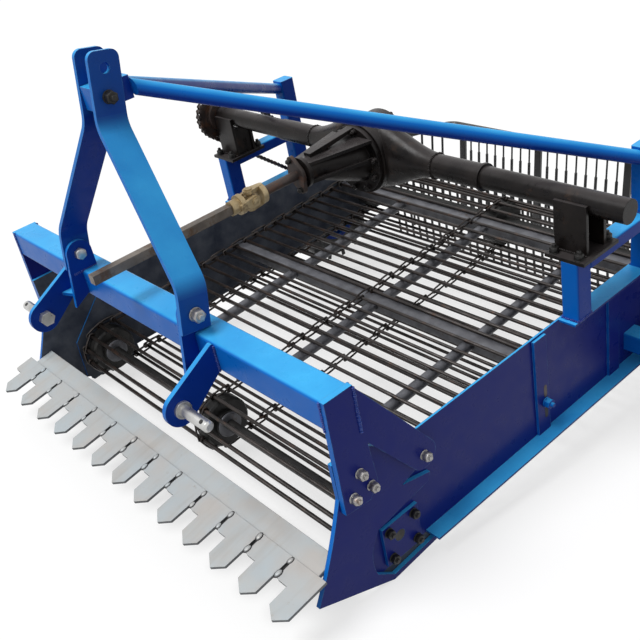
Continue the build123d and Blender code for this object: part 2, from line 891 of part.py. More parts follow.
# Lower hitch lugs and their pins
hitch_root = beam_front - hitch_root_round
with BuildPart() as hitch_lug:
    with BuildSketch(side_plane(hitch_half)):
        with Locations(hitch_pin):
            Circle(hitch_end_radius)
        with Locations((hitch_root, beam_top - hitch_root_round), (hitch_root, beam_low + hitch_root_round)):
            Circle(hitch_root_round)
        make_hull()
        with Locations(hitch_pin):
            Circle(hitch_pin_radius, mode=Mode.SUBTRACT)
    extrude(amount=hitch_plate_wall)
    gusset_inner = mast_spread - mast_wall / 2
    with BuildSketch(deck_plane(hitch_gusset_up)):
        with BuildLine():
            Polyline((gusset_inner, beam_front), (hitch_half, beam_front),
                     (hitch_half, beam_front - hitch_gusset_reach),
                     (gusset_inner, beam_front - hitch_gusset_reach / 2), close=True)
        make_face()
    extrude(amount=hitch_gusset_wall)
keep_pair(hitch_lug.part, "hitch_lug")

hitch_outer = hitch_half + hitch_plate_wall
with BuildPart() as lower_pin:
    with BuildSketch(side_plane(hitch_half - hitch_nut_width)):
        with Locations(hitch_pin):
            Circle(hitch_pin_radius)
    extrude(amount=hitch_nut_width + hitch_plate_wall + hitch_collar_width + hitch_pin_length)
    chamfer(lower_pin.edges().filter_by(GeomType.CIRCLE).sort_by(Axis.X)[-1], hitch_pin_chamfer)
    with BuildSketch(side_plane(hitch_outer)):
        with Locations(hitch_pin):
            Circle(hitch_collar_radius)
    extrude(amount=hitch_collar_width)
    with BuildSketch(side_plane(hitch_half - hitch_nut_width)):
        with Locations(hitch_pin):
            RegularPolygon(hitch_nut_radius, 6)
    extrude(amount=hitch_nut_width)
keep_pair(lower_pin.part, "lower_pin")

# Stays from a block between the mast bars to the tops of the rear uprights
with BuildPart() as stay_block:
    with BuildSketch(side_plane(-stay_block_half)):
        with Locations(((stay_block_front + stay_block_rear) / 2, stay_bolt[1])):
            Rectangle(stay_block_rear - stay_block_front, stay_block_height)
    extrude(amount=2 * stay_block_half)
keep(stay_block.part, "stay_block")

stay_from = deck_point(stay_start, stay_block_rear, stay_bolt[1])
stay_to = deck_point(post_across, upright_front, stay_end_up)
with BuildPart() as stay:
    with BuildSketch(Plane(origin=stay_from, x_dir=(0, 0, 1), z_dir=stay_to - stay_from)):
        Circle(stay_radius)
    extrude(amount=(stay_to - stay_from).length, both=True)
    split(bisect_by=front_plane(stay_block_rear), keep=Keep.BOTTOM)
    split(bisect_by=front_plane(upright_front), keep=Keep.TOP)
keep_pair(stay.part, "stay")


# Side drive: a sprocket on the axle's right end, a chain and a sprocket on the web shaft
axle_pitch_radius = chain_pitch / (2 * sin(pi / axle_teeth))
web_pitch_radius = chain_pitch / (2 * sin(pi / web_teeth))


def chain_band(across, extra):
    with BuildSketch(side_plane(across)) as band:
        with Locations(axle_place):
            Circle(axle_pitch_radius + extra)
        with Locations(web_rear):
            Circle(web_pitch_radius + extra)
        make_hull()
    return band.sketch


plate_places = (-sprocket_inner + chain_plate_gap,
                -sprocket_inner - sprocket_wall - chain_plate_gap - chain_plate_wall)
with BuildPart() as drive_chain:
    for across in plate_places:
        extrude(chain_band(across, chain_half), amount=chain_plate_wall)
        extrude(chain_band(across, -chain_half), amount=chain_plate_wall, mode=Mode.SUBTRACT)
keep(drive_chain.part, "drive_chain")

with BuildPart() as axle_sprocket:
    with BuildSketch(side_plane(-sprocket_inner - sprocket_wall)):
        with Locations(axle_place):
            Circle(axle_pitch_radius + tooth_height)
            with PolarLocations(axle_pitch_radius, axle_teeth):
                Circle(chain_roller_radius, mode=Mode.SUBTRACT)
    extrude(amount=sprocket_wall)
    with BuildSketch(side_plane(-sprocket_inner)):
        with Locations(axle_place):
            Circle(hub_radius)
    extrude(amount=sprocket_inner - axle_right_end)
keep(axle_sprocket.part, "axle_sprocket")

with BuildPart() as web_sprocket:
    with BuildSketch(side_plane(-sprocket_inner - sprocket_wall)):
        with Locations(web_rear):
            Circle(web_pitch_radius + tooth_height)
            with PolarLocations(web_pitch_radius, web_teeth):
                Circle(chain_roller_radius, mode=Mode.SUBTRACT)
    extrude(amount=sprocket_wall)
keep(web_sprocket.part, "web_sprocket")

# Rear fence: a bent top rail on the panels, hanging bars and posts
fence_corner = deck_point(0, *fence_top)
fence_rear = fence_corner.Y
fence_height = fence_corner.Z
rail_plane = Plane(origin=(0, fence_rear, fence_height), x_dir=(1, 0, 0), z_dir=(0, 0, 1))
bar_count = 2 * int((fence_half - fence_bend - fence_bar_pitch / 2) // fence_bar_pitch) + 1
bar_row = [(k - bar_count // 2) * fence_bar_pitch for k in range(bar_count)]
fence_post_pitch = 2 * fence_post_share * fence_half / (fence_post_count - 1)
post_row = [(k - (fence_post_count - 1) / 2) * fence_post_pitch for k in range(fence_post_count)]
wing_row = [(side * (fence_half + share * fence_wing_spread), -share * fence_wing_run)
            for side in (-1, 1) for share in fence_wing_bars]
wing_cut = fence_half - fence_bend
with BuildPart() as whole_fence:
    with BuildLine(rail_plane) as rail_line:
        FilletPolyline((-panel_outer, -fence_wing_run), (-fence_half, 0), (fence_half, 0),
                       (panel_outer, -fence_wing_run), radius=fence_bend)
    with BuildSketch(Plane(origin=rail_line.line @ 0, z_dir=rail_line.line % 0)):
        Circle(fence_rail_radius)
    sweep()
    with BuildSketch(rail_plane):
        with Locations([(across, 0) for across in bar_row] + wing_row):
            Circle(fence_bar_radius)
    extrude(amount=-fence_bar_length)
    with BuildSketch(rail_plane):
        with Locations([(across, 0) for across in post_row]):
            Rectangle(fence_post_width, fence_post_depth)
    extrude(amount=-fence_bar_length)

with BuildPart() as rear_fence:
    add(whole_fence.part)
    split(bisect_by=Plane.YZ.offset(wing_cut), keep=Keep.BOTTOM)
    split(bisect_by=Plane.YZ.offset(-wing_cut), keep=Keep.TOP)
keep(rear_fence.part, "rear_fence")

with BuildPart() as fence_wing:
    add(whole_fence.part)
    split(bisect_by=Plane.YZ.offset(wing_cut), keep=Keep.TOP)
    split(bisect_by=Plane.YZ.offset(panel_inner), keep=Keep.BOTTOM)
keep_pair(fence_wing.part, "fence_wing")

# Ground wheels on trailing arms
wheel_up = (wheel_radius + ground - wheel_along * sin(rise)) / cos(rise)
wheel_place = (wheel_along, wheel_up)
arm_outer = wheel_inner - wheel_side_gap
hub_end = wheel_inner + wheel_width
with BuildPart() as wheel_arm:
    with BuildSketch(side_plane(panel_outer)):
        with Locations(socket_place):
            RectangleRounded(socket_size, socket_size, post_corner)
    extrude(amount=arm_outer - wheel_arm_wall - panel_outer)
    with BuildSketch(side_plane(arm_outer - wheel_arm_wall)):
        with Locations(socket_place, wheel_place):
            Circle(wheel_arm_width / 2)
        make_hull()
    extrude(amount=wheel_arm_wall)
    with BuildSketch(side_plane(arm_outer)):
        with Locations(wheel_place):
            Circle(wheel_pin_radius)
    extrude(amount=hub_end + wheel_side_gap - arm_outer)
    with BuildSketch(side_plane(hub_end + shaft_clearance)):
        with Locations(wheel_place):
            Circle(wheel_cap_radius)
    extrude(amount=wheel_cap_width)
keep_pair(wheel_arm.part, "wheel_arm")

hub_axis = Axis(deck_point(0, *wheel_place), (1, 0, 0))
wheel_middle = wheel_inner + wheel_width / 2
seat = tyre_seat_radius - shaft_clearance
wheel_section = Plane(origin=deck_point(wheel_middle, *wheel_place), x_dir=(1, 0, 0), z_dir=(0, -1, 0))
half = wheel_width / 2
with BuildPart() as wheel_rim:
    with BuildSketch(wheel_section):
        with Locations((0, seat - rim_wall / 2)):
            Rectangle(wheel_width, rim_wall)
        with Locations((half - rim_lip_wall / 2, seat - rim_lip),
                       (-half + rim_lip_wall / 2, seat - rim_lip)):
            Rectangle(rim_lip_wall, 2 * rim_lip)
        with BuildLine():
            Polyline((-rim_wall, seat - rim_wall), (rim_wall / 2, seat - rim_wall),
                     (half / 2, hub_outer_radius), (half / 2 - rim_wall, hub_outer_radius), close=True)
        make_face()
        with Locations((0, (hub_outer_radius + wheel_pin_radius + shaft_clearance) / 2)):
            Rectangle(wheel_width, hub_outer_radius - wheel_pin_radius - shaft_clearance)
    revolve(axis=hub_axis)
keep_pair(wheel_rim.part, "wheel_rim")

tread = wheel_radius - lug_height
quarter_pitch = 360 / lug_count / 4
with BuildPart() as tyre_lugs:
    with Locations(Plane(origin=deck_point(wheel_middle, *wheel_place), x_dir=(0, 1, 0), z_dir=(1, 0, 0))):
        for side in (-1, 1):
            with Locations((0, 0, side * (half - lug_inset))):
                with PolarLocations(tread, lug_count, start_angle=side * quarter_pitch):
                    Box(2 * lug_height + lug_thick, lug_thick, lug_reach, rotation=(side * lug_slant, 0, 0))
    with BuildSketch(side_plane(wheel_inner)):
        with Locations(wheel_place):
            Circle(wheel_radius)
    extrude(amount=wheel_width, mode=Mode.INTERSECT)

with BuildPart() as tyre:
    with BuildSketch(side_plane(wheel_inner)):
        with Locations(wheel_place):
            Circle(tread)
            Circle(tyre_seat_radius, mode=Mode.SUBTRACT)
    extrude(amount=wheel_width)
    fillet(tyre.edges().filter_by(GeomType.CIRCLE).sort_by(SortBy.RADIUS)[-2:], tyre_shoulder)
    add(tyre_lugs.part)
keep_pair(tyre.part, "tyre")
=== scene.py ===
import json
from math import acos, atan2, cos, pi, radians, sin
from random import Random

import bpy
from mathutils import Matrix, Vector


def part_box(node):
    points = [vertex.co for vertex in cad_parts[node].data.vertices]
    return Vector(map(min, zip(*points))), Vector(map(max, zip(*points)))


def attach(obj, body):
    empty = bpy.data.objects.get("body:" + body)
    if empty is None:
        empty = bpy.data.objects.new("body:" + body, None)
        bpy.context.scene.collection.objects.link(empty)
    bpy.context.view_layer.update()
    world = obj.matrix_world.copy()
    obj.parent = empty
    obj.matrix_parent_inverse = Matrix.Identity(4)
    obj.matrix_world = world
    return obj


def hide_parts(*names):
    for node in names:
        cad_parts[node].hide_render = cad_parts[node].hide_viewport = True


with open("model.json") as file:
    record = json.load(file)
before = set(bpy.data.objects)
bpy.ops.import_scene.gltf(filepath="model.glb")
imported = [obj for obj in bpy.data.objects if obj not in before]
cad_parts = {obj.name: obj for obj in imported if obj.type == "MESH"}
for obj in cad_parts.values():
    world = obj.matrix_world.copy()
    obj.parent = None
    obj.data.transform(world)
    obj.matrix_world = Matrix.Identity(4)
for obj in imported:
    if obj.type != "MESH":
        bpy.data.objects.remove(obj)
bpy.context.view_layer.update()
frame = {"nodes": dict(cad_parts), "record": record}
nodes = frame["nodes"]
print("frame loaded,", len(nodes), "nodes")

# The deck's own frame: across, along (rearward up the deck) and up, pinned at the axle
deck = {"rise": radians(7.2), "axleAlong": 0.680, "axleUp": 0.265}
deckTurn = Matrix.Rotation(deck["rise"], 4, "X")
acrossTurn = Matrix.Rotation(pi / 2, 4, "Y")
bothWays = (-1, 1)


def middleOf(node):
    low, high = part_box(node)
    return (low + high) / 2


axleMiddle = middleOf("axle_housing")


def deckAt(across, along, up):
    step = deckTurn @ Vector((0, along - deck["axleAlong"], up - deck["axleUp"]))
    return Vector((across, axleMiddle.y + step.y, axleMiddle.z + step.z))


def deckPair(across, along, up, turn=deckTurn):
    # The same place on both sides of the machine
    return [Matrix.Translation(deckAt(side * across, along, up)) @ turn for side in bothWays]


# Small modelling steps that every piece uses
def dropPicks():
    bpy.ops.object.select_all(action="DESELECT")


def makeActive(piece):
    dropPicks()
    piece.select_set(True)
    bpy.context.view_layer.objects.active = piece


def started():
    piece = bpy.context.object
    bpy.ops.object.transform_apply(location=True, rotation=True, scale=True)
    return piece


def startCylinder(sides, radius, depth, at=(0, 0, 0)):
    dropPicks()
    bpy.ops.mesh.primitive_cylinder_add(vertices=sides, radius=radius, depth=depth, location=at)
    return started()


def startCrossRod(sides, radius, length):
    rod = startCylinder(sides, radius, length)
    rod.data.transform(acrossTurn)
    return rod


def startCube(size, at=(0, 0, 0)):
    dropPicks()
    bpy.ops.mesh.primitive_cube_add(size=1, location=at, scale=size)
    return started()


def startRing(radius, wire, around, sides):
    # A ring of round wire about the machine's crosswise axis
    dropPicks()
    bpy.ops.mesh.primitive_torus_add(major_segments=around, minor_segments=sides, minor_radius=wire,
                                     major_radius=radius, rotation=(0, pi / 2, 0))
    return started()


def clearPicks(piece, kind):
    makeActive(piece)
    bpy.ops.object.mode_set(mode="EDIT")
    bpy.ops.mesh.select_mode(type=kind)
    bpy.ops.mesh.select_all(action="DESELECT")
    bpy.ops.object.mode_set(mode="OBJECT")


def editFaces(piece, test):
    clearPicks(piece, "FACE")
    for face in piece.data.polygons:
        face.select = test(face.normal)
    bpy.ops.object.mode_set(mode="EDIT")


def editPoints(piece, test):
    clearPicks(piece, "VERT")
    for point in piece.data.vertices:
        point.select = test(point.co)
    bpy.ops.object.mode_set(mode="EDIT")


def leaveEdit():
    bpy.ops.object.mode_set(mode="OBJECT")


# How squarely a picked face looks one way, and how far off the middle a picked point is
pick = {"square": 0.9, "off": 1e-5}


def looksUp(normal):
    return normal.z > pick["square"]


def looksDown(normal):
    return normal.z < -pick["square"]


def looksForward(normal):
    return normal.y < -pick["square"]


def inset(rim, rise):
    # A smaller face within each picked one, lifted or sunk
    bpy.ops.mesh.inset(thickness=rim)
    bpy.ops.transform.translate(value=(0, 0, rise))


def extrude(step):
    bpy.ops.mesh.extrude_region_move(TRANSFORM_OT_translate={"value": step})


def stretchEnds(piece, axis, reach):
    # Draws the two halves of a round piece apart
    for end in bothWays:
        step = Vector((0, 0, 0))
        step[axis] = end * reach
        editPoints(piece, lambda place: place[axis] * end > pick["off"])
        bpy.ops.transform.translate(value=step)
        leaveEdit()


def startNosedPlate(plate, looks, at=(0, 0, 0)):
    # A plate with one edge drawn out narrower
    piece = startCube(plate["size"], at)
    editFaces(piece, looks)
    extrude(plate["nose"])
    bpy.ops.transform.resize(value=plate["noseShare"])
    leaveEdit()
    bevelAll(piece, plate["edge"])
    return piece


def bevelAll(piece, width, angle=40, segments=1):
    bevel = piece.modifiers.new("softEdge", "BEVEL")
    bevel.width = width
    bevel.segments = segments
    bevel.limit_method = "ANGLE"
    bevel.angle_limit = radians(angle)
    makeActive(piece)
    bpy.ops.object.modifier_apply(modifier=bevel.name)


def joined(parts):
    dropPicks()
    for part in parts:
        part.select_set(True)
    bpy.context.view_layer.objects.active = parts[0]
    if len(parts) > 1:
        bpy.ops.object.join()
    return bpy.context.object


def copied(model, places):
    twins = []
    for place in places:
        twin = model.copy()
        twin.data = model.data.copy()
        twin.data.transform(place)
        bpy.context.scene.collection.objects.link(twin)
        twins.append(twin)
    bpy.data.objects.remove(model)
    return joined(twins)


def finished(piece, name, finish, slot, body="frame", smooth=35):
    piece.name = name
    piece.data.name = name
    piece.data.materials.clear()
    piece.data.materials.append(finishes[finish])
    makeActive(piece)
    bpy.ops.object.shade_smooth_by_angle(angle=radians(smooth))
    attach(piece, body)
    return piece


def facing(point, direction):
    # A place whose own Z looks along the direction
    turn = Vector(direction).to_track_quat("Z", "Y").to_matrix().to_4x4()
    return Matrix.Translation(point) @ turn


# Shader steps that the finishes share
def addNode(tree, kind, links=(), **settings):
    node = tree.nodes.new(kind)
    for label, value in settings.items():
        setattr(node, label, value)
    for socket, source in links:
        if isinstance(source, (int, float, tuple)):
            node.inputs[socket].default_value = source
        else:
            tree.links.new(source, node.inputs[socket])
    return node


def addNoise(tree, scale, detail=4.0, roughness=0.55, stretch=None):
    place = addNode(tree, "ShaderNodeTexCoord").outputs["Object"]
    if stretch:
        place = addNode(tree, "ShaderNodeMapping", [("Vector", place), ("Scale", stretch)]).outputs[0]
    links = [("Vector", place), ("Scale", scale), ("Detail", detail), ("Roughness", roughness)]
    return addNode(tree, "ShaderNodeTexNoise", links).outputs["Fac"]


def addRange(tree, value, low, high, toLow=0.0, toHigh=1.0):
    links = [("Value", value), ("From Min", low), ("From Max", high), ("To Min", toLow), ("To Max", toHigh)]
    return addNode(tree, "ShaderNodeMapRange", links, clamp=True).outputs["Result"]


def addMath(tree, operation, first, second):
    return addNode(tree, "ShaderNodeMath", [(0, first), (1, second)], operation=operation).outputs[0]


def addProduct(tree, first, second, third):
    return addMath(tree, "MULTIPLY", addMath(tree, "MULTIPLY", first, second), third)


def addMix(tree, mask, first, second):
    links = [(0, mask), (6, first), (7, second)]
    return addNode(tree, "ShaderNodeMix", links, data_type="RGBA").outputs[2]


def addNormal(tree):
    return addNode(tree, "ShaderNodeNewGeometry").outputs["Normal"]


def addRounded(tree, radius):
    return addNode(tree, "ShaderNodeBevel", [("Radius", radius)], samples=4).outputs["Normal"]


def addAxis(tree, vector, axis):
    return addNode(tree, "ShaderNodeSeparateXYZ", [(0, vector)]).outputs[axis]


def addDot(tree, first, second):
    links = [(0, first), (1, second)]
    return addNode(tree, "ShaderNodeVectorMath", links, operation="DOT_PRODUCT").outputs["Value"]


# Node groups that give one mask each, for wear and for painted light: where the mask begins and ends, and
# how fine its noise is
wearAndPaintedLight = {"mottle": (0.36, 0.66), "mottleDetail": 5.0, "edgeRadius": 0.0035, "edge": (0.97, 0.80),
        "chips": (0.40, 0.62), "chipDetail": 3.0, "dustAndLightLow": 0.45, "dustAndLightTop": 0.95,
        "dustAndLightPatch": (0.30, 0.70, 0.60, 1.0), "dustAndLightDetail": 6.0, "rust": (0.0, 0.12),
        "rustDetail": 7.0, "rustRoughness": 0.7, "paintedLightFrom": (0.0, -0.62, 0.78), "paintedLightTop": 0.60}


def newGroup(name, **inputs):
    group = bpy.data.node_groups.new(name, "ShaderNodeTree")
    kind = "NodeSocketFloat"
    for label, value in inputs.items():
        socket = group.interface.new_socket(label.replace("_", " "), in_out="INPUT", socket_type=kind)
        socket.default_value = value
    group.interface.new_socket("Mask", in_out="OUTPUT", socket_type=kind)
    return group, group.nodes.new("NodeGroupInput").outputs


def closeGroup(group, mask):
    group.links.new(mask, group.nodes.new("NodeGroupOutput").inputs["Mask"])
    return group


def makeMottle():
    group, given = newGroup("mottle", Scale=12.0)
    noise = addNoise(group, given["Scale"], detail=wearAndPaintedLight["mottleDetail"])
    return closeGroup(group, addRange(group, noise, *wearAndPaintedLight["mottle"]))


def makeEdgeWear():
    group, given = newGroup("edgeWear", Patch_Scale=40.0, Amount=0.5)
    likeness = addDot(group, addRounded(group, wearAndPaintedLight["edgeRadius"]), addNormal(group))
    edge = addRange(group, likeness, *wearAndPaintedLight["edge"])
    noise = addNoise(group, given["Patch Scale"], detail=wearAndPaintedLight["chipDetail"])
    patch = addRange(group, noise, *wearAndPaintedLight["chips"])
    return closeGroup(group, addProduct(group, edge, patch, given["Amount"]))


def makeTopDustAndPaintedLight():
    # Upward faces in patches: painted light on the blue paints and the weld paint, dust on the fence and the
    # axle
    group, given = newGroup("topDustAndPaintedLight", Amount=0.4, Scale=9.0, Low=wearAndPaintedLight["dustAndLightLow"])
    level = addRange(group, addAxis(group, addNormal(group), "Z"), given["Low"], wearAndPaintedLight["dustAndLightTop"])
    noise = addNoise(group, given["Scale"], detail=wearAndPaintedLight["dustAndLightDetail"])
    patch = addRange(group, noise, *wearAndPaintedLight["dustAndLightPatch"])
    return closeGroup(group, addProduct(group, level, patch, given["Amount"]))


def makeRustSpots():
    group, given = newGroup("rustSpots", Scale=18.0, Cover=0.5)
    noise = addNoise(group, given["Scale"], wearAndPaintedLight["rustDetail"], wearAndPaintedLight["rustRoughness"])
    bare = addMath(group, "SUBTRACT", 1.0, given["Cover"])
    return closeGroup(group, addRange(group, addMath(group, "SUBTRACT", noise, bare), *wearAndPaintedLight["rust"]))


def makePaintedSideLight():
    # Painted light and shade: paint is lighter on the faces turned forward and up, towards the light, and
    # darker on the faces turned away
    group, given = newGroup("paintedSideLight", Low=0.10)
    turned = addDot(group, addNormal(group), wearAndPaintedLight["paintedLightFrom"])
    return closeGroup(group, addRange(group, turned, given["Low"], wearAndPaintedLight["paintedLightTop"]))


mottle = makeMottle()
edgeWear = makeEdgeWear()
topDustAndPaintedLight = makeTopDustAndPaintedLight()
rustSpots = makeRustSpots()
paintedSideLight = makePaintedSideLight()


def useGroup(tree, group, **values):
    node = tree.nodes.new("ShaderNodeGroup")
    node.node_tree = group
    for label, value in values.items():
        node.inputs[label.replace("_", " ")].default_value = value
    return node.outputs["Mask"]


# Finishes: a colour, a mottled roughness and a grain
def newFinish(name, look):
    finish = bpy.data.materials.new(name)
    finish.use_nodes = True
    shader = finish.node_tree.nodes["Principled BSDF"]
    for socket, key, usual in (("Metallic", "metallic", 0.0), ("Specular IOR Level", "specular", 0.5),
                               ("Coat Weight", "coat", 0.0), ("Coat Roughness", "coatRough", 0.2)):
        shader.inputs[socket].default_value = look.get(key, usual)
    return finish, finish.node_tree, shader


def giveSurface(tree, shader, colour, look):
    # Edges look slightly rounded, with the surface's own grain on top
    mask = useGroup(tree, mottle, Scale=look["roughScale"])
    rough = addRange(tree, mask, 0.0, 1.0, *look["rough"])
    strength, depth = look["bump"]
    links = [("Strength", strength), ("Distance", depth),
             ("Height", addNoise(tree, *look["grain"], stretch=look.get("grainLie"))),
             ("Normal", addRounded(tree, look.get("edgeRadius", 0.0015)))]
    bump = addNode(tree, "ShaderNodeBump", links).outputs["Normal"]
    for source, socket in ((colour, "Base Color"), (rough, "Roughness"), (bump, "Normal")):
        tree.links.new(source, shader.inputs[socket])


# In the blue paints, navy and dusk are painted shade on faces turned away from the light, and sky is painted
# light on upward faces
paint = {
    "azure": (0.003, 0.150, 0.570, 1), "navy": (0.004, 0.040, 0.310, 1), "deep": (0.003, 0.110, 0.470, 1),
    "dusk": (0.009, 0.017, 0.190, 1), "sky": (0.065, 0.520, 0.960, 1), "chip": (0.120, 0.330, 0.650, 1),
    "slate": (0.050, 0.060, 0.086, 1), "slateScuff": (0.115, 0.130, 0.160, 1),
}
blueLook = {"specular": 0.11, "patchScale": 5.0, "patchMost": 0.35, "scuffScale": 14.0,
            "dustAndLight": {"Amount": 0.88, "Scale": 7.0}, "chips": {"Patch_Scale": 30.0, "Amount": 0.65},
            "roughScale": 22.0, "rough": (0.26, 0.38), "grain": (140.0, 2.0), "bump": (0.02, 0.0004)}


def makeBluePaint(name, shade="navy", dustAndLightLow=wearAndPaintedLight["dustAndLightLow"], innerFace=None):
    look = blueLook
    finish, tree, shader = newFinish(name, look)
    patches = useGroup(tree, mottle, Scale=look["patchScale"])
    patches = addRange(tree, patches, 0.0, 1.0, 0.0, look["patchMost"])
    colour = addMix(tree, patches, paint["azure"], paint["deep"])
    # Painted light and shade: faces turned towards the light keep the azure paint, faces turned away take
    # the darker shade tone
    colour = addMix(tree, useGroup(tree, paintedSideLight), paint[shade], colour)
    # Painted light: upward faces turn lighter sky blue in patches
    colour = addMix(tree, useGroup(tree, topDustAndPaintedLight, **look["dustAndLight"], Low=dustAndLightLow), colour, paint["sky"])
    colour = addMix(tree, useGroup(tree, edgeWear, **look["chips"]), colour, paint["chip"])
    if innerFace:
        # The face towards the web is scoured to bare dark steel
        across = addAxis(tree, addNode(tree, "ShaderNodeTexCoord").outputs["Object"], "X")
        inside = addMath(tree, "LESS_THAN", addMath(tree, "ABSOLUTE", across, 0.0), innerFace)
        scuffs = useGroup(tree, mottle, Scale=look["scuffScale"])
        slate = addMix(tree, scuffs, paint["slate"], paint["slateScuff"])
        colour = addMix(tree, inside, colour, slate)
    giveSurface(tree, shader, colour, look)
    return finish


bladeLook = {
    "pale": (0.420, 0.465, 0.485, 1), "warm": (0.450, 0.432, 0.410, 1), "stain": (0.310, 0.270, 0.230, 1),
    "edge": (0.090, 0.095, 0.105, 1), "metallic": 0.25, "patchScale": 7.0, "marks": (30.0, 3.0),
    "marksLie": (1.0, 0.12, 0.12), "marksSpan": (0.52, 0.75, 0.0, 0.30),
    "stains": {"Scale": 34.0, "Cover": 0.36}, "edgeSpan": (0.85, 0.55, 0.0, 0.85), "roughScale": 20.0,
    "rough": (0.42, 0.62), "grain": (150.0, 4.0), "grainLie": (1.0, 0.3, 0.3), "bump": (0.10, 0.0006),
}


def makeBladeSteel():
    look = bladeLook
    finish, tree, shader = newFinish("bladeSteel", look)
    colour = addMix(tree, useGroup(tree, mottle, Scale=look["patchScale"]), look["pale"], look["warm"])
    marks = addNoise(tree, *look["marks"], stretch=look["marksLie"])
    colour = addMix(tree, addRange(tree, marks, *look["marksSpan"]), colour, look["stain"])
    colour = addMix(tree, useGroup(tree, rustSpots, **look["stains"]), colour, look["stain"])
    # Faces that do not look up are darker
    flat = addAxis(tree, addNormal(tree), "Z")
    colour = addMix(tree, addRange(tree, flat, *look["edgeSpan"]), colour, look["edge"])
    giveSurface(tree, shader, colour, look)
    return finish


# Paints, steels and castings: two mottled tones under rust, and lighter upward faces that are dust on the
# fence and the axle and painted light on the weld paint
paintBase = {"coat": 0.15, "patches": 16.0, "dustAndLightScale": 12.0, "roughScale": 30.0,
             "rough": (0.35, 0.55), "grain": (220.0, 3.0), "bump": (0.08, 0.0008)}
steelBase = {"patches": 20.0, "rustScale": 24.0, "roughScale": 36.0, "grain": (120.0, 4.0),
             "bump": (0.15, 0.0008)}
steelPolished = {**steelBase, "bump": (0.06, 0.0008)}
looks = {
    # On the weld beads, the azure on upward faces is painted light
    "weldPaint": {**paintBase, "tones": (paint["dusk"], paint["navy"]), "dustAndLight": paint["azure"],
                  "dustAndLightAmount": 0.25},
    "fencePaint": {**paintBase, "tones": ((0.008, 0.008, 0.009, 1), (0.020, 0.020, 0.022, 1)),
                   "dustAndLight": (0.16, 0.14, 0.12, 1), "dustAndLightAmount": 0.2},
    "tyreRubber": {**paintBase, "tones": ((0.012, 0.012, 0.013, 1), (0.024, 0.023, 0.023, 1)),
                   "rough": (0.62, 0.82)},
    "rodSteel": {**steelBase, "tones": ((0.012, 0.009, 0.008, 1), (0.040, 0.031, 0.028, 1)),
                 "rust": (0.062, 0.030, 0.017, 1), "cover": 0.44, "metallic": 0.35, "rough": (0.32, 0.50)},
    "greySteel": {**steelBase, "tones": ((0.090, 0.092, 0.104, 1), (0.165, 0.168, 0.185, 1)),
                  "rust": (0.085, 0.060, 0.045, 1), "cover": 0.40, "metallic": 0.35, "rough": (0.36, 0.58)},
    "shaftSteel": {**steelBase, "tones": ((0.120, 0.100, 0.082, 1), (0.215, 0.185, 0.155, 1)),
                   "rust": (0.110, 0.062, 0.034, 1), "cover": 0.48, "metallic": 0.35, "rough": (0.34, 0.55)},
    "rustyCast": {**steelBase, "tones": ((0.022, 0.015, 0.013, 1), (0.060, 0.042, 0.036, 1)),
                  "rust": (0.085, 0.038, 0.020, 1), "cover": 0.48, "metallic": 0.20, "rough": (0.40, 0.62)},
    "yokeSteel": {**steelBase, "tones": ((0.330, 0.240, 0.120, 1), (0.540, 0.430, 0.250, 1)),
                  "rust": (0.130, 0.080, 0.040, 1), "cover": 0.44, "metallic": 0.45, "rough": (0.32, 0.50)},
    "zincSteel": {**steelPolished, "tones": ((0.440, 0.435, 0.420, 1), (0.620, 0.620, 0.610, 1)),
                  "rust": (0.300, 0.220, 0.140, 1), "cover": 0.38, "metallic": 0.85, "rough": (0.26, 0.42)},
    "nutSteel": {**steelPolished, "tones": ((0.280, 0.270, 0.260, 1), (0.470, 0.460, 0.450, 1)),
                 "rust": (0.190, 0.120, 0.080, 1), "cover": 0.44, "metallic": 0.75, "rough": (0.28, 0.46)},
    # Dark steel, which is also the painted shade of the slot strips, weld rims, lower rib slots and pin
    # holes
    "sootSteel": {**steelBase, "tones": ((0.007, 0.007, 0.007, 1), (0.022, 0.021, 0.020, 1)),
                  "rust": (0.050, 0.028, 0.018, 1), "cover": 0.36, "metallic": 0.40, "rough": (0.36, 0.60)},
    "castAxle": {"tones": ((0.005, 0.004, 0.004, 1), (0.014, 0.011, 0.010, 1)), "patches": 13.0,
                 "rust": (0.034, 0.020, 0.013, 1), "rustScale": 16.0, "cover": 0.42, "specular": 0.18,
                 "dustAndLight": (0.085, 0.076, 0.077, 1), "dustAndLightAmount": 0.55, "dustAndLightScale": 14.0, "dustAndLightLow": 0.50,
                 "roughScale": 26.0, "rough": (0.24, 0.42), "grain": (90.0, 6.0, 0.7),
                 "bump": (0.25, 0.0012), "edgeRadius": 0.003},
}


def makeFinish(name):
    look = looks[name]
    finish, tree, shader = newFinish(name, look)
    colour = addMix(tree, useGroup(tree, mottle, Scale=look["patches"]), *look["tones"])
    if "rust" in look:
        spots = useGroup(tree, rustSpots, Scale=look["rustScale"], Cover=look["cover"])
        colour = addMix(tree, spots, colour, look["rust"])
    if "dustAndLight" in look:
        low = look.get("dustAndLightLow", wearAndPaintedLight["dustAndLightLow"])
        dustAndLight = useGroup(tree, topDustAndPaintedLight, Amount=look["dustAndLightAmount"], Scale=look["dustAndLightScale"], Low=low)
        colour = addMix(tree, dustAndLight, colour, look["dustAndLight"])
    giveSurface(tree, shader, colour, look)
    return finish


# The mast's painted light on upward faces reaches further down its sloping faces; the panels, brackets and
# shovel plates take the darker dusk tone as their painted shade on faces turned away from the light
blues = {"bluePaint": {}, "wheelPaint": {}, "blueMast": {"dustAndLightLow": -0.10}, "blueBracket": {"shade": "dusk"},
         "bluePanel": {"shade": "dusk", "innerFace": 0.7225},
         "blueShovel": {"shade": "dusk", "innerFace": 0.7285}}
finishes = {"bladeSteel": makeBladeSteel()}
for name, choice in blues.items():
    finishes[name] = makeBluePaint(name, **choice)
for name in looks:
    finishes[name] = makeFinish(name)
print("finishes made")

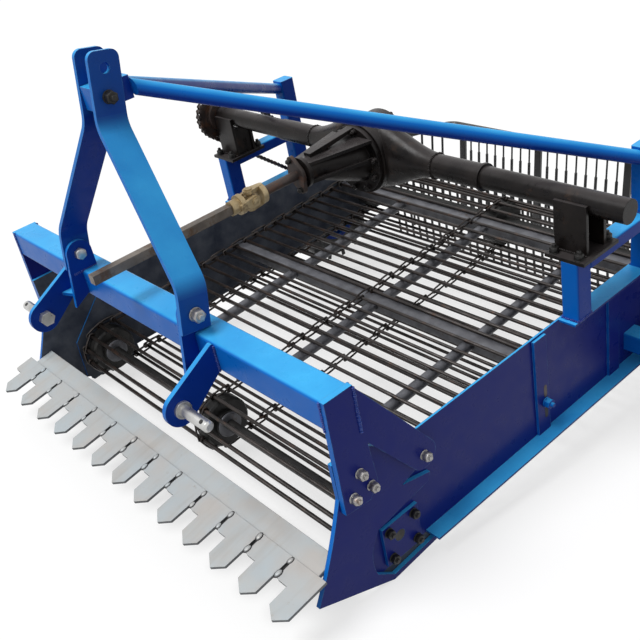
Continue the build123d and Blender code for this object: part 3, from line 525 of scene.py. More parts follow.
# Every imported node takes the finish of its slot, and a few take a finish of their own
slotFinish = {
    "blue_paint": "bluePaint", "black_paint": "fencePaint", "wheel_paint": "wheelPaint",
    "blade_steel": "bladeSteel", "rod_steel": "rodSteel", "grey_steel": "greySteel", "cast_axle": "castAxle",
    "yoke_steel": "yokeSteel", "zinc_steel": "zincSteel", "tyre_rubber": "tyreRubber",
}
nodeFinish = {
    "side_panel": "bluePanel", "end_bracket": "blueBracket", "idler_plate": "blueBracket",
    "mast_bar": "blueMast", "shovel_plate": "blueShovel", "square_shaft": "shaftSteel",
    "companion_flange": "rustyCast", "front_rollers": "sootSteel", "rear_shaft": "sootSteel",
    "axle_sprocket": "rustyCast", "web_sprocket": "rustyCast",
}
for part in frame["record"]["subparts"]:
    nodeName = part["node"]
    family = nodeName.removesuffix("_left").removesuffix("_right")
    for spot in nodes[nodeName].material_slots:
        spot.material = finishes[nodeFinish.get(family) or slotFinish[part["material_slot"]]]
print("finishes given to the nodes")

# Rod web: rods, and chains of oval links at both edges and along the middle
web = {"radius": 0.085, "rods": 63, "rodRadius": 0.0055, "rodHalf": 0.700, "sides": 10, "edge": 0.0015,
       "linkAround": 10, "linkSides": 5, "lean": 0.05, "seed": 4,
       "chains": ((-0.690, 0.0042, 0.0075), (0, 0.0034, 0.0065), (0.690, 0.0042, 0.0075))}
webFront = middleOf("front_rollers")
webRear = middleOf("shaft_bearing_left")


def roundAt(angle, radius):
    return Vector((cos(angle), sin(angle))) * radius


def beltLoop(first, last, big, small):
    # A loop round two wheels that starts over the first: its length, and where a distance along it is
    span = Vector((last.y - first.y, last.z - first.z))
    lean = acos((big - small) / span.length)
    heading = atan2(span.y, span.x)
    top, low = heading + lean, heading - lean
    straight = span.length * sin(lean)
    lengths = [straight, small * (2 * lean), straight, big * (2 * pi - 2 * lean)]

    def loopPoint(left):
        run = 0
        while left > lengths[run]:
            left -= lengths[run]
            run += 1
        if run == 0:
            flat = roundAt(top, big).lerp(span + roundAt(top, small), left / straight)
        elif run == 1:
            flat = span + roundAt(top - left / small, small)
        elif run == 2:
            flat = (span + roundAt(low, small)).lerp(roundAt(low, big), left / straight)
        else:
            flat = roundAt(low - left / big, big)
        return Vector((0, first.y + flat.x, first.z + flat.y))

    return sum(lengths), loopPoint


def makeOvalLink(pitch, wire):
    # A wire loop round two rods: its plane is upright, its length along Y
    link = startRing(web["rodRadius"] + wire, wire, web["linkAround"], web["linkSides"])
    stretchEnds(link, 1, pitch / 2)
    return link


def makeRodWeb():
    draw = Random(web["seed"])
    around, loopPoint = beltLoop(webFront, webRear, web["radius"], web["radius"])
    pitch = around / web["rods"]
    rodPoints = [loopPoint(pitch * k) for k in range(web["rods"])]
    rod = startCrossRod(web["sides"], web["rodRadius"], 2 * web["rodHalf"])
    bevelAll(rod, web["edge"], angle=60)
    rods = copied(rod, [Matrix.Translation(point) for point in rodPoints])
    chains = []
    # Each chain by its place across, its wire and its links' step to the sides
    for across, wire, step in web["chains"]:
        places = []
        for k in range(web["rods"]):
            here, there = rodPoints[k], rodPoints[(k + 1) % web["rods"]]
            tilt = atan2(there.z - here.z, there.y - here.y)
            side = step if k % 2 else -step
            spot = (here + there) / 2 + Vector((across + side, 0, 0))
            lean = Matrix.Rotation(draw.uniform(-web["lean"], web["lean"]), 4, "Z")
            places.append(Matrix.Translation(spot) @ Matrix.Rotation(tilt, 4, "X") @ lean)
        chains.append(copied(makeOvalLink(pitch, wire), places))
    piece = finished(joined([rods] + chains), "rodWeb", "rodSteel", "rod_steel", smooth=50)
    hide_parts("rod_web")


makeRodWeb()
print("rod web made")

# Fasteners: a hexagon nut on its washer with the end of its bolt, or a forged bolt head
nutShape = {"crown": 0.07, "rise": 0.10, "bore": 0.12, "edge": 0.03, "washer": 1.2, "wall": 0.12,
            "washerSides": 20, "bolt": 0.27, "boltSides": 12, "boltEdge": 0.05, "seed": 7}
headShape = {"crown": 0.06, "rise": 0.12, "edge": 0.04}


def makeHexagon(size, shape):
    # A hexagon with a turned-down crown
    width, height = size["width"], size["height"]
    piece = startCylinder(6, width / 2 / cos(pi / 6), height, (0, 0, height / 2))
    editFaces(piece, looksUp)
    inset(width * shape["crown"], height * shape["rise"])
    if "bore" in shape:
        bpy.ops.mesh.inset(thickness=width * shape["bore"])
    leaveEdit()
    bevelAll(piece, width * shape["edge"])
    return piece


def makeNut(size):
    width = size["width"]
    wall = width * nutShape["wall"]
    reach = size["height"] + size["stud"]
    nut = makeHexagon(size, nutShape)
    nut.data.transform(Matrix.Translation((0, 0, wall)))
    ring = startCylinder(nutShape["washerSides"], width / 2 * nutShape["washer"], wall, (0, 0, wall / 2))
    bevelAll(ring, width * nutShape["edge"])
    bolt = startCylinder(nutShape["boltSides"], width * nutShape["bolt"], reach, (0, 0, reach / 2 + wall))
    editFaces(bolt, looksUp)
    bpy.ops.mesh.bevel(offset=width * nutShape["boltEdge"], segments=1)
    leaveEdit()
    return joined([nut, ring, bolt])


def placeNuts(name, size, spots, finish="nutSteel", slot="zinc_steel", body="frame"):
    draw = Random(len(spots) * nutShape["seed"] + int(size["width"] * 1000))
    places = []
    for point, normal in spots:
        turn = Matrix.Rotation(draw.uniform(0, pi / 3), 4, "Z")
        places.append(facing(point, normal) @ turn)
    finished(copied(makeNut(size), places), name, finish, slot, body)


def placeHeads(name, size, spots, finish):
    places = [facing(point, normal) for point, normal in spots]
    finished(copied(makeHexagon(size, headShape), places), name, finish, "zinc_steel")


def bothSides(across, places, out=1):
    # Spots on both sides that look outward, or inward with out at minus one
    return [(deckAt(side * across, along, up), (side * out, 0, 0))
            for side in bothWays for along, up in places]


def squareOf(along, up, half):
    return [(along + a, up + b) for a in (-half, half) for b in (-half, half)]


def boltRing(size, along, normal):
    # A ring of bolts about the axle's fore-and-aft axis
    spots = []
    for k in range(size["count"]):
        angle = size["start"] + 2 * pi * k / size["count"]
        out, rise = size["ring"] * cos(angle), size["ring"] * sin(angle)
        spots.append((deckAt(out, along, deck["axleUp"] + rise), deckTurn @ normal))
    return spots


legNuts = {"width": 0.022, "height": 0.015, "stud": 0.007, "face": 0.756,
           "places": ((-0.161, -0.017), (-0.136, -0.070), (-0.190, -0.068), (0.031, -0.100))}
legHeads = {"width": 0.024, "height": 0.011, "plate": 0.728, "panel": 0.722}
idlerNuts = {"width": 0.022, "height": 0.012, "stud": 0.006, "face": 0.738,
             "places": squareOf(-0.058, -0.302, 0.042)}
bearingNuts = {"width": 0.021, "height": 0.013, "stud": 0.008, "face": 0.740,
               "places": squareOf(1.240, -0.239, 0.040)}
mastFootNuts = {"width": 0.030, "height": 0.018, "stud": 0.009, "face": 0.302, "places": ((-0.204, 0.260),)}
mastFootHeads = {"width": 0.030, "height": 0.013, "face": 0.278}
stayNuts = {"width": 0.028, "height": 0.017, "stud": 0.010, "face": 0.038, "places": ((-0.126, 0.725),)}
armNuts = {"width": 0.030, "height": 0.015, "stud": 0.006, "face": 0.836, "places": ((0.920, -0.290),)}
ribNuts = {"width": 0.026, "height": 0.014, "stud": 0.010, "face": 0.736, "places": ((0.510, -0.264),)}
for name, size, *look in (
        ("legNuts", legNuts), ("idlerNuts", idlerNuts, "sootSteel"), ("bearingNuts", bearingNuts),
        ("mastFootNuts", mastFootNuts), ("armNuts", armNuts), ("stayNuts", stayNuts, "sootSteel"),
        ("ribNuts", ribNuts, "bluePaint", "blue_paint")):
    placeNuts(name, size, bothSides(size["face"], size["places"]), *look)
placeHeads("legHeads", legHeads, bothSides(legHeads["plate"], legNuts["places"][:3], -1), "zincSteel")
placeHeads("armHeads", legHeads, bothSides(legHeads["panel"], legNuts["places"][3:], -1), "sootSteel")
placeHeads("mastFootHeads", mastFootHeads, bothSides(mastFootHeads["face"], mastFootNuts["places"], -1),
           "zincSteel")

# Adjusting slots in the first ribs, drawn flat: rusty above the nut, and dark below it, painted shade for
# the open slot
ribSlot = {"half": 0.0065, "wall": 0.004, "reach": 0.013, "rim": 0.0015, "proud": 0.0006, "sides": 16,
           "face": 0.736, "along": 0.510, "high": -0.226, "low": -0.296}


def makeRibSlot():
    slot = startCrossRod(ribSlot["sides"], ribSlot["half"], ribSlot["wall"])
    stretchEnds(slot, 2, ribSlot["reach"])
    editFaces(slot, lambda normal: abs(normal.x) > pick["square"])
    bpy.ops.mesh.inset(thickness=ribSlot["rim"])
    leaveEdit()
    return slot


def placeRibSlots(name, up, finish):
    across = ribSlot["face"] - ribSlot["wall"] / 2 + ribSlot["proud"]
    finished(copied(makeRibSlot(), deckPair(across, ribSlot["along"], up)), name, finish, "rod_steel")


placeRibSlots("ribSlotsHigh", ribSlot["high"], "rustyCast")
placeRibSlots("ribSlotsLow", ribSlot["low"], "sootSteel")

# Nuts on the wheels' hubs, which are slightly coned
hubNuts = {"width": 0.022, "height": 0.013, "stud": 0.005, "ring": 0.060, "rise": 0.0163,
           "tilt": radians(17), "count": 5, "start": 0.3}
for side, sideName in ((1, "left"), (-1, "right")):
    hub = middleOf("tyre_" + sideName)
    hubSpots = []
    for k in range(hubNuts["count"]):
        angle = 2 * pi * k / hubNuts["count"] + hubNuts["start"]
        out = Vector((0, cos(angle), sin(angle)))
        spot = hub + Vector((side * hubNuts["rise"], 0, 0)) + out * hubNuts["ring"]
        normal = Vector((side * cos(hubNuts["tilt"]), 0, 0)) + out * sin(hubNuts["tilt"])
        hubSpots.append((spot, normal))
    hubName = "hubNuts" + sideName.capitalize()
    placeNuts(hubName, hubNuts, hubSpots, "zincSteel", "zinc_steel", "wheel_" + sideName)

# Nuts on the axle: pinion carrier, cover, saddles and the companion flange
carrierNuts = {"width": 0.017, "height": 0.010, "stud": 0.005, "ring": 0.091, "count": 10, "start": 0.15,
               "back": 0.060, "wall": 0.014}
coverNuts = {"width": 0.012, "height": 0.008, "stud": 0.002, "ring": 0.102, "count": 10, "start": 0.0,
             "back": 0.060}
saddleNuts = {"width": 0.022, "height": 0.013, "stud": 0.010, "rise": 0.135, "across": (0.702, 0.776),
              "along": (0.619, 0.741)}
flangeNuts = {"width": 0.014, "height": 0.009, "stud": 0.004, "places": (0.044, -0.044),
              "turn": radians(20), "along": 0.377, "up": 0.308}
forward, rearward, upward = Vector((0, -1, 0)), Vector((0, 1, 0)), Vector((0, 0, 1))
carrierFace = deck["axleAlong"] - carrierNuts["back"] - carrierNuts["wall"]
coverFace = deck["axleAlong"] + coverNuts["back"]
saddleSpots = [(deckAt(side * across, along, saddleNuts["rise"]), deckTurn @ upward)
               for side in bothWays for across in saddleNuts["across"] for along in saddleNuts["along"]]
flangeSpots = []
for place in flangeNuts["places"]:
    out, rise = -sin(flangeNuts["turn"]) * place, cos(flangeNuts["turn"]) * place
    flangeSpots.append((deckAt(out, flangeNuts["along"], flangeNuts["up"] + rise), deckTurn @ forward))
placeNuts("carrierNuts", carrierNuts, boltRing(carrierNuts, carrierFace, forward), "castAxle", "cast_axle")
placeNuts("coverNuts", coverNuts, boltRing(coverNuts, coverFace, rearward), "castAxle", "cast_axle")
placeNuts("saddleNuts", saddleNuts, saddleSpots, "sootSteel", "cast_axle")
placeNuts("flangeNuts", flangeNuts, flangeSpots, "sootSteel", "cast_axle", "drive_shaft")
print("fasteners placed")

# Weld beads: overlapping lumps along a seam
beadLump = {"rings": 6, "segments": 10, "step": 0.55, "jitter": 0.12, "grow": (0.85, 1.15), "squash": 0.62,
            "foot": -0.5, "footShare": 0.4, "footAt": -0.4, "seed": 11}
beadDraw = Random(beadLump["seed"])


def makeLump():
    # A ball on a flattened foot
    dropPicks()
    bpy.ops.mesh.primitive_uv_sphere_add(segments=beadLump["segments"], ring_count=beadLump["rings"],
                                         radius=1.0)
    lump = started()
    editPoints(lump, lambda place: place.z < beadLump["foot"])
    bpy.ops.transform.resize(value=(1, 1, beadLump["footShare"]),
                             center_override=(0, 0, beadLump["footAt"]))
    leaveEdit()
    return lump


def makeBeads(name, seams, size, finish, slot):
    lump = makeLump()
    places = []
    for first, last in seams:
        span = last - first
        count = max(2, int(span.length / (size * beadLump["step"] * 2)))
        along = facing((0, 0, 0), span).to_3x3().to_4x4()
        for k in range(count + 1):
            wobble = Vector([beadDraw.uniform(-1, 1) * size * beadLump["jitter"] for axis in range(3)])
            grow = size * beadDraw.uniform(*beadLump["grow"])
            shape = Matrix.Diagonal((grow, grow, grow * beadLump["squash"], 1))
            places.append(Matrix.Translation(first + span * k / count + wobble) @ along @ shape)
    finished(copied(lump, places), name, finish, slot, smooth=60)


# Blade: a bar under the tines, with welds in the slots between the tines' heads
blade = {"back": (-0.249, -0.223), "slope": radians(10.4), "wall": 0.008, "pitch": 0.1176, "count": 13,
         "headBack": 0.062, "notch": 0.124}
bladeBar = {"size": (1.456, 0.108, 0.012), "nose": (0, -0.012, 0), "noseShare": (1, 1, 0.35),
            "edge": 0.0012}
tineWeld = {"in": 0.011, "bead": (0.0068, 0.0105, 0.0036), "rim": (0.0086, 0.0128, 0.0011),
            "grow": (0.88, 1.12), "lean": 0.15, "shift": 0.0008, "seed": 5}
slotMiddles = [(k - blade["count"] / 2) * blade["pitch"] for k in range(1, blade["count"])]
bladeLie = deckTurn @ Matrix.Rotation(blade["slope"], 4, "X")


def bladeAt(across, out, lift):
    along = blade["back"][0] - out * cos(blade["slope"]) - lift * sin(blade["slope"])
    up = blade["back"][1] - out * sin(blade["slope"]) + lift * cos(blade["slope"])
    return deckAt(across, along, up)


def makeTineWelds():
    # Each weld has a dark rim under it: painted shade at the foot of the bead
    draw = Random(tineWeld["seed"])
    shift, lean = tineWeld["shift"], tineWeld["lean"]
    beads, rims = [], []
    for middle in slotMiddles:
        for out in (blade["headBack"] + tineWeld["in"], blade["notch"] - tineWeld["in"]):
            grow = draw.uniform(*tineWeld["grow"])
            turn = Matrix.Rotation(draw.uniform(-lean, lean), 4, "Z")
            spot = bladeAt(middle + draw.uniform(-shift, shift), out, blade["wall"])
            place = Matrix.Translation(spot) @ bladeLie @ turn
            for spots, shape in ((beads, tineWeld["bead"]), (rims, tineWeld["rim"])):
                spots.append(place @ Matrix.Diagonal((*[side * grow for side in shape], 1)))
    finished(copied(makeLump(), beads), "tineWelds", "bladeSteel", "blade_steel", smooth=60)
    finished(copied(makeLump(), rims), "weldRims", "sootSteel", "blade_steel", smooth=60)


def makeBladeBar():
    depth, height = bladeBar["size"][1:]
    bar = startNosedPlate(bladeBar, looksForward, (0, -depth / 2, -height / 2))
    bar.data.transform(Matrix.Translation(bladeAt(0, 0, 0)) @ bladeLie)
    piece = finished(bar, "bladeBar", "bladeSteel", "blade_steel")
    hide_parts("blade")


makeTineWelds()
makeBladeBar()

# Dark strips in the slots between the tines' heads: painted shade
slotShadeStrips = {"size": (0.0094, 0.034, 0.003), "rim": 0.002, "sink": 0.0006, "edge": 0.0006, "lift": 0.0012}


def makeSlotShadeStrips():
    shadeStrip = startCube(slotShadeStrips["size"])
    editFaces(shadeStrip, looksUp)
    inset(slotShadeStrips["rim"], -slotShadeStrips["sink"])
    leaveEdit()
    bevelAll(shadeStrip, slotShadeStrips["edge"])
    middle = (blade["headBack"] + blade["notch"]) / 2
    spots = [bladeAt(across, middle, slotShadeStrips["lift"]) for across in slotMiddles]
    piece = copied(shadeStrip, [Matrix.Translation(spot) @ bladeLie for spot in spots])
    finished(piece, "slotShadeStrips", "sootSteel", "blade_steel")


makeSlotShadeStrips()
print("blade dressed")

# Seams of the frame on both sides, each from end to end as across, along and up
frameWeld = {
    "size": 0.0045,
    "outer": (((0.7565, -0.134, 0.200), (0.7565, -0.134, 0.082)),
              ((0.741, -0.214, 0.204), (0.741, -0.214, 0.130)),
              ((0.741, -0.134, 0.204), (0.741, -0.134, 0.130)),
              ((0.729, 0.608, -0.044), (0.729, 0.662, -0.044)),
              ((0.729, 0.923, -0.044), (0.729, 0.977, -0.044)),
              ((0.779, 0.608, -0.044), (0.779, 0.662, -0.044)),
              ((0.779, 0.923, -0.044), (0.779, 0.977, -0.044))),
    "inner": (((0.731, 0.604, -0.044), (0.777, 0.604, -0.044)),
              ((0.731, 0.666, -0.044), (0.777, 0.666, -0.044)),
              ((0.732, 0.919, 0.125), (0.776, 0.919, 0.125)),
              ((0.352, -0.215, 0.200), (0.352, -0.215, 0.130)),
              ((0.366, -0.215, 0.200), (0.366, -0.215, 0.130)),
              ((0.352, -0.216, 0.200), (0.352, -0.216, 0.130)),
              ((0.366, -0.216, 0.200), (0.366, -0.216, 0.130)),
              ((0.279, -0.238, 0.207), (0.279, -0.170, 0.207))),
}


def seamOn(side, seam):
    return [deckAt(side * across, along, up) for across, along, up in seam]


frameSeams = [seamOn(side, seam) for seam in frameWeld["outer"] for side in bothWays]
frameSeams += [seamOn(side, seam) for side in bothWays for seam in frameWeld["inner"]]
makeBeads("frameWelds", frameSeams, frameWeld["size"], "weldPaint", "blue_paint")

# Seams round the axle's tubes and along its saddles
axleWeld = {"size": 0.0042, "across": 0.266, "radius": 0.036, "steps": 16,
            "saddle": {"across": (0.692, 0.784), "along": (0.6375, 0.7225), "up": 0.136}}


def axleRing(side, step):
    angle = 2 * pi * step / axleWeld["steps"]
    along = deck["axleAlong"] + axleWeld["radius"] * cos(angle)
    return deckAt(side * axleWeld["across"], along, deck["axleUp"] + axleWeld["radius"] * sin(angle))


axleSeams = []
for side in bothWays:
    axleSeams += [(axleRing(side, k), axleRing(side, k + 1)) for k in range(axleWeld["steps"])]
    for along in axleWeld["saddle"]["along"]:
        ends = [(across, along, axleWeld["saddle"]["up"]) for across in axleWeld["saddle"]["across"]]
        axleSeams.append(seamOn(side, ends))
makeBeads("axleWelds", axleSeams, axleWeld["size"], "castAxle", "cast_axle")

# Web plates that close the saddles on the side towards the middle
saddleWeb = {"size": (0.005, 0.082, 0.092), "across": 0.699, "along": 0.680, "up": 0.180,
             "nose": (0, 0, 0.006), "noseShare": (1, 0.7, 1), "edge": 0.0008}


def makeSaddleWebs():
    plate = startNosedPlate(saddleWeb, looksUp)
    piece = copied(plate, deckPair(saddleWeb["across"], saddleWeb["along"], saddleWeb["up"]))
    finished(piece, "saddleWebs", "castAxle", "cast_axle")


makeSaddleWebs()
print("welds laid")

# Rear fence: a rail with flat posts and, between them, thin bars that end in thicker sleeves
fence = {"rail": 0.013, "railSides": 24, "posts": (-0.605, -0.205, 0.205, 0.605), "post": (0.030, 0.014),
         "between": 8, "bar": 0.0038, "barSides": 10, "sleeve": 0.0060, "step": 0.103, "shoulder": 0.001,
         "tip": 0.002, "tipShare": 0.7, "postFoot": 0.004, "postEdge": 0.0012,
         "weld": {"size": 0.0042, "half": 0.004, "aside": 0.004, "lift": 0.0015}}
fenceLow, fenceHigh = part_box("rear_fence")
fenceRail = Vector((0, (fenceLow.y + fenceHigh.y) / 2, fenceHigh.z - fence["rail"]))
fenceDrop = fenceRail.z - fenceLow.z
fenceBarRow = []
for first, last in zip(fence["posts"], fence["posts"][1:]):
    gap = (last - first) / (fence["between"] + 1)
    fenceBarRow += [first + gap * (k + 1) for k in range(fence["between"])]


def makeFenceBar():
    bar = startCylinder(fence["barSides"], fence["bar"], fence["step"], (0, 0, -fence["step"] / 2))
    editFaces(bar, looksDown)
    sleeve = fenceDrop - fence["step"] - fence["shoulder"] - fence["tip"]
    wider = fence["sleeve"] / fence["bar"]
    for drop, grow in ((fence["shoulder"], wider), (sleeve, 1), (fence["tip"], fence["tipShare"])):
        extrude((0, 0, -drop))
        bpy.ops.transform.resize(value=(grow, grow, 1))
    leaveEdit()
    return bar


def makeFencePost():
    post = startCube((*fence["post"], fenceDrop), (0, 0, -fenceDrop / 2))
    editFaces(post, looksDown)
    bpy.ops.mesh.bevel(offset=fence["postFoot"], segments=2)
    leaveEdit()
    bevelAll(post, fence["postEdge"], angle=60)
    return post


def railPlaces(row):
    return [Matrix.Translation(fenceRail + Vector((across, 0, 0))) for across in row]


def makeFence():
    rail = startCrossRod(fence["railSides"], fence["rail"], fenceHigh.x - fenceLow.x)
    rail.data.transform(Matrix.Translation(fenceRail))
    bars = copied(makeFenceBar(), railPlaces(fenceBarRow))
    posts = copied(makeFencePost(), railPlaces(fence["posts"]))
    piece = finished(joined([rail, bars, posts]), "fenceBars", "fencePaint", "black_paint")
    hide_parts("rear_fence")


makeFence()
fenceSeams = []
fenceHalf = Vector((fence["weld"]["half"], 0, 0))
for across in fenceBarRow:
    for side in bothWays:
        lift = -fence["rail"] + fence["weld"]["lift"]
        spot = fenceRail + Vector((across, side * fence["weld"]["aside"], lift))
        fenceSeams.append((spot - fenceHalf, spot + fenceHalf))
makeBeads("fenceWelds", fenceSeams, fence["weld"]["size"], "fencePaint", "black_paint")

# Rear comb: a cross bar behind the web with bars hanging from it
comb = {"along": 1.365, "up": -0.150, "beam": 0.030, "beamEdge": 0.003, "half": 0.722, "bar": 0.005,
        "barSides": 10, "barEdge": 0.0015, "pitch": 0.040, "count": 35, "top": -0.130, "low": -0.520}


def makeComb():
    beam = startCube((2 * comb["half"], comb["beam"], comb["beam"]))
    bevelAll(beam, comb["beamEdge"], segments=2)
    beam.data.transform(Matrix.Translation(deckAt(0, comb["along"], comb["up"])) @ deckTurn)
    bar = startCylinder(comb["barSides"], comb["bar"], comb["top"] - comb["low"])
    bevelAll(bar, comb["barEdge"], angle=60)
    middle = (comb["top"] + comb["low"]) / 2
    row = [(k - comb["count"] // 2) * comb["pitch"] for k in range(comb["count"])]
    spots = [deckAt(across, comb["along"], middle) for across in row]
    bars = copied(bar, [Matrix.Translation(spot) @ deckTurn for spot in spots])
    piece = finished(joined([beam, bars]), "combBars", "fencePaint", "black_paint")
    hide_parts("rear_comb")


makeComb()
print("fence and comb made")

# Toe plates that close the panels' lower front corners behind the idlers
toePlate = {"size": (0.004, 0.196, 0.036), "across": 0.725, "along": -0.048, "up": -0.381,
            "tilt": radians(5), "nose": (0, -0.008, 0.004), "noseShare": (1, 1, 0.6), "edge": 0.0008}


def makeToePlates():
    plate = startNosedPlate(toePlate, looksForward)
    tilt = deckTurn @ Matrix.Rotation(toePlate["tilt"], 4, "X")
    piece = copied(plate, deckPair(toePlate["across"], toePlate["along"], toePlate["up"], tilt))
    finished(piece, "toePlates", "blueShovel", "blue_paint")


makeToePlates()

# Moulded rings and a valve on each wheel
sidewall = {"radius": 0.143, "wire": 0.0030, "around": 48, "sides": 6, "half": 0.050, "backShare": 0.3}
valveStem = {"radius": 0.004, "sides": 10, "length": 0.030, "ring": 0.088, "out": 0.025, "rim": 0.3,
             "tip": 0.006, "turn": radians(70)}


def makeSidewall(sideName):
    centre = middleOf("tyre_" + sideName)
    rings = []
    for face in bothWays:
        ring = startRing(sidewall["radius"], sidewall["wire"], sidewall["around"], sidewall["sides"])
        editPoints(ring, lambda place: place.x * face < 0)
        bpy.ops.transform.resize(value=(sidewall["backShare"], 1, 1), center_override=(0, 0, 0))
        leaveEdit()
        ring.data.transform(Matrix.Translation(centre + Vector((face * sidewall["half"], 0, 0))))
        rings.append(ring)
    ringsName = "sidewallRings" + sideName.capitalize()
    finished(joined(rings), ringsName, "tyreRubber", "tyre_rubber", "wheel_" + sideName)


def makeValve(side, sideName):
    middle = Vector((side * valveStem["out"], 0, valveStem["ring"]))
    valve = startCylinder(valveStem["sides"], valveStem["radius"], valveStem["length"], middle)
    editFaces(valve, looksUp)
    bpy.ops.mesh.inset(thickness=valveStem["radius"] * valveStem["rim"])
    extrude((0, 0, valveStem["tip"]))
    leaveEdit()
    turn = Matrix.Rotation(side * valveStem["turn"], 4, "Y")
    place = Matrix.Translation(middleOf("tyre_" + sideName) + middle)
    valve.data.transform(place @ turn @ Matrix.Translation(-middle))
    finished(valve, "valve" + sideName.capitalize(), "sootSteel", "tyre_rubber", "wheel_" + sideName)


for side, sideName in ((1, "left"), (-1, "right")):
    makeSidewall(sideName)
    makeValve(side, sideName)
print("wheels dressed")

# Bearing caps in the ears of the universal joint
joint = {"along": 0.208, "up": 0.308, "earOutside": 0.029, "cap": 0.0115, "sides": 24, "capRise": 0.005,
         "rim": 0.18, "sink": 0.4, "boss": 0.30, "bossRise": 0.3, "edge": 0.0012}


def makeCap():
    cap = startCylinder(joint["sides"], joint["cap"], joint["capRise"] * 2)
    editFaces(cap, looksUp)
    inset(joint["cap"] * joint["rim"], -joint["capRise"] * joint["sink"])
    inset(joint["cap"] * joint["boss"], joint["capRise"] * joint["bossRise"])
    leaveEdit()
    bevelAll(cap, joint["edge"])
    return cap


capSpots = []
for side in bothWays:
    capSpots.append(facing(deckAt(side * joint["earOutside"], joint["along"], joint["up"]), (side, 0, 0)))
    spot = deckAt(0, joint["along"], joint["up"] + side * joint["earOutside"])
    capSpots.append(facing(spot, deckTurn @ Vector((0, 0, side))))
finished(copied(makeCap(), capSpots), "bearingCaps", "yokeSteel", "yoke_steel", "drive_shaft")

# Turned rings on the ends of the front rollers' hubs
hubRing = {"radius": 0.040, "sides": 28, "wall": 0.003, "places": (-0.672, 0.0, 0.672), "half": 0.037,
           "rim": 0.006, "rise": 0.8, "boss": 0.009, "sink": 0.6, "edge": 0.0008}


def makeHubRing():
    ring = startCylinder(hubRing["sides"], hubRing["radius"], 2 * hubRing["wall"])
    editFaces(ring, looksUp)
    inset(hubRing["rim"], hubRing["wall"] * hubRing["rise"])
    inset(hubRing["boss"], -hubRing["wall"] * hubRing["sink"])
    leaveEdit()
    bevelAll(ring, hubRing["edge"])
    return ring


ringPlaces = []
for place in hubRing["places"]:
    for side in bothWays:
        spot = webFront + Vector((place + side * hubRing["half"] - webFront.x, 0, 0))
        ringPlaces.append(facing(spot, (side, 0, 0)))
finished(copied(makeHubRing(), ringPlaces), "rollerRings", "greySteel", "grey_steel")

# Pull-pin holes near the ends of the lower hitch pins, drawn as dark plugs: painted shade for the holes
pinHole = {"across": 0.458, "along": -0.337, "up": 0.093, "pin": 0.014, "radius": 0.0055, "sides": 16,
           "proud": 0.0006, "rim": 0.0012, "sink": 0.0004, "turn": radians(36)}


def makePinHole():
    hole = startCylinder(pinHole["sides"], pinHole["radius"], 2 * (pinHole["pin"] + pinHole["proud"]))
    for end in bothWays:
        editFaces(hole, lambda normal: normal.z * end > pick["square"])
        inset(pinHole["rim"], -end * pinHole["sink"])
        leaveEdit()
    return hole


pinTurn = Matrix.Rotation(pinHole["turn"], 4, "X")
pinPlaces = deckPair(pinHole["across"], pinHole["along"], pinHole["up"], pinTurn)
finished(copied(makePinHole(), pinPlaces), "pinHoles", "sootSteel", "zinc_steel")

# Drive chain: rollers, pins and side plates round both sprockets
chain = {"pitch": 0.01905, "axleTeeth": 29, "webTeeth": 19, "across": -0.817, "plateHalf": 0.0078,
         "plateWall": 0.0024, "plateSides": 10, "waist": 0.55, "inner": 0.0066, "outer": 0.0095,
         "roller": 0.0058, "rollerHalf": 0.0060, "pin": 0.0029, "pinHalf": 0.0125, "sides": 8}


def chainPoints():
    big = chain["pitch"] / (2 * sin(pi / chain["axleTeeth"]))
    small = chain["pitch"] / (2 * sin(pi / chain["webTeeth"]))
    around, loopPoint = beltLoop(axleMiddle, webRear, big, small)
    count = 2 * round(around / chain["pitch"] / 2)
    aside = Vector((chain["across"], 0, 0))
    return [loopPoint(around * k / count) + aside for k in range(count)]


def makeChainPlate():
    plate = startCrossRod(chain["plateSides"], chain["plateHalf"], chain["plateWall"])
    stretchEnds(plate, 1, chain["pitch"] / 2)
    editFaces(plate, lambda normal: True)
    bpy.ops.mesh.bisect(plane_co=(0, 0, 0), plane_no=(0, 1, 0))
    leaveEdit()
    editPoints(plate, lambda place: abs(place.y) < pick["off"])
    bpy.ops.transform.resize(value=(1, 1, chain["waist"]))
    leaveEdit()
    return plate


def makeDriveChain():
    points = chainPoints()
    platePlaces = []
    rollerPlaces = []
    for k, here in enumerate(points):
        there = points[(k + 1) % len(points)]
        tilt = Matrix.Rotation(atan2(there.z - here.z, there.y - here.y), 4, "X")
        gap = chain["inner"] if k % 2 else chain["outer"]
        for side in bothWays:
            spot = (here + there) / 2 + Vector((side * gap, 0, 0))
            platePlaces.append(Matrix.Translation(spot) @ tilt)
        rollerPlaces.append(Matrix.Translation(here))
    plates = copied(makeChainPlate(), platePlaces)
    roller = startCrossRod(chain["sides"], chain["roller"], 2 * chain["rollerHalf"])
    pin = startCrossRod(chain["sides"], chain["pin"], 2 * chain["pinHalf"])
    rollers = copied(roller, rollerPlaces)
    pins = copied(pin, rollerPlaces)
    piece = finished(joined([plates, rollers, pins]), "driveChainLinks", "rustyCast", "rod_steel")
    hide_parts("drive_chain")


makeDriveChain()
print("drive chain made")

# Stage: pale floor, soft light and the camera
stage = {"floor": 60.0, "floorColour": (0.36, 0.36, 0.36, 1), "floorRoughness": 0.9, "floorGlow": 0.66,
         "specular": 0.0, "sky": 0.46, "white": (1, 1, 1, 1)}


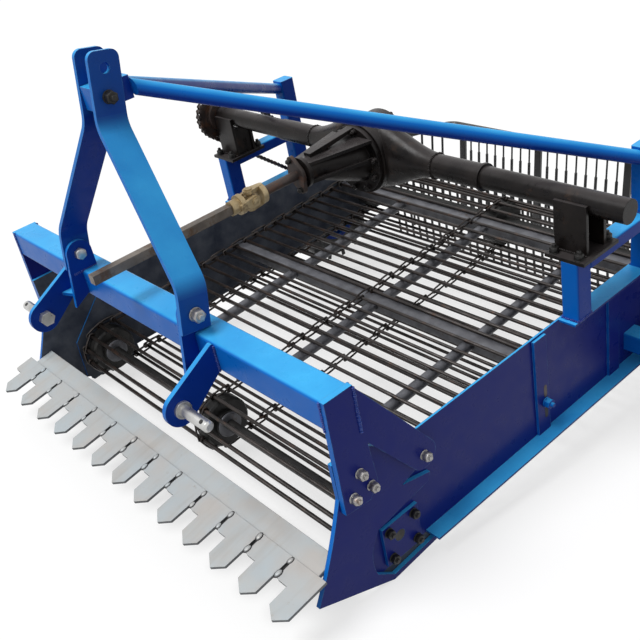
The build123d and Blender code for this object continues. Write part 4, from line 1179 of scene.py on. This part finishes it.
def addSeen(tree):
    # One where the picture, a reflection or a see-through piece looks at the background
    rays = addNode(tree, "ShaderNodeLightPath").outputs
    mirrored = addMath(tree, "MAXIMUM", rays["Is Glossy Ray"], rays["Is Transmission Ray"])
    return addMath(tree, "MAXIMUM", rays["Is Camera Ray"], mirrored)


dropPicks()
bpy.ops.mesh.primitive_plane_add(size=stage["floor"])
floor = bpy.context.object
floor.name = "floor"
floorFinish, floorTree, floorShader = newFinish("floorPale", stage)
floorShader.inputs["Base Color"].default_value = stage["floorColour"]
floorShader.inputs["Roughness"].default_value = stage["floorRoughness"]
floorShader.inputs["Emission Color"].default_value = stage["white"]
floorGlow = addRange(floorTree, addSeen(floorTree), 0.0, 1.0, 0.0, stage["floorGlow"])
floorTree.links.new(floorGlow, floorShader.inputs["Emission Strength"])
floor.data.materials.append(floorFinish)

world = bpy.data.worlds.new("studio")
bpy.context.scene.world = world
world.use_nodes = True
sky = world.node_tree
background = sky.nodes["Background"]
sky.links.new(addRange(sky, addSeen(sky), 0.0, 1.0, stage["sky"], 1.0), background.inputs["Strength"])
background.inputs["Color"].default_value = stage["white"]

sun = {"from": Vector((-0.15, -0.50, 0.85)), "away": 5, "power": 2.25, "angle": radians(30)}
bpy.ops.object.light_add(type="SUN", location=sun["from"] * sun["away"])
lamp = bpy.context.object
lamp.name = "sun"
lamp.data.energy = sun["power"]
lamp.data.angle = sun["angle"]
lamp.rotation_euler = (-sun["from"]).to_track_quat("-Z", "Y").to_euler()

view = {"place": Vector((1.951, -1.853, 1.573)), "aim": Vector((0.420, -0.635, 0.568)),
        "roll": radians(-5.35), "lens": 50.29, "sensor": 36}
bpy.ops.object.camera_add(location=view["place"])
camera = bpy.context.object
look = (view["aim"] - view["place"]).to_track_quat("-Z", "Y").to_matrix().to_4x4()
camera.matrix_world = Matrix.Translation(view["place"]) @ look @ Matrix.Rotation(view["roll"], 4, "Z")
camera.data.lens = view["lens"]
camera.data.sensor_width = view["sensor"]
scene = bpy.context.scene
scene.camera = camera
scene.view_settings.view_transform = "Standard"
print("stage set")
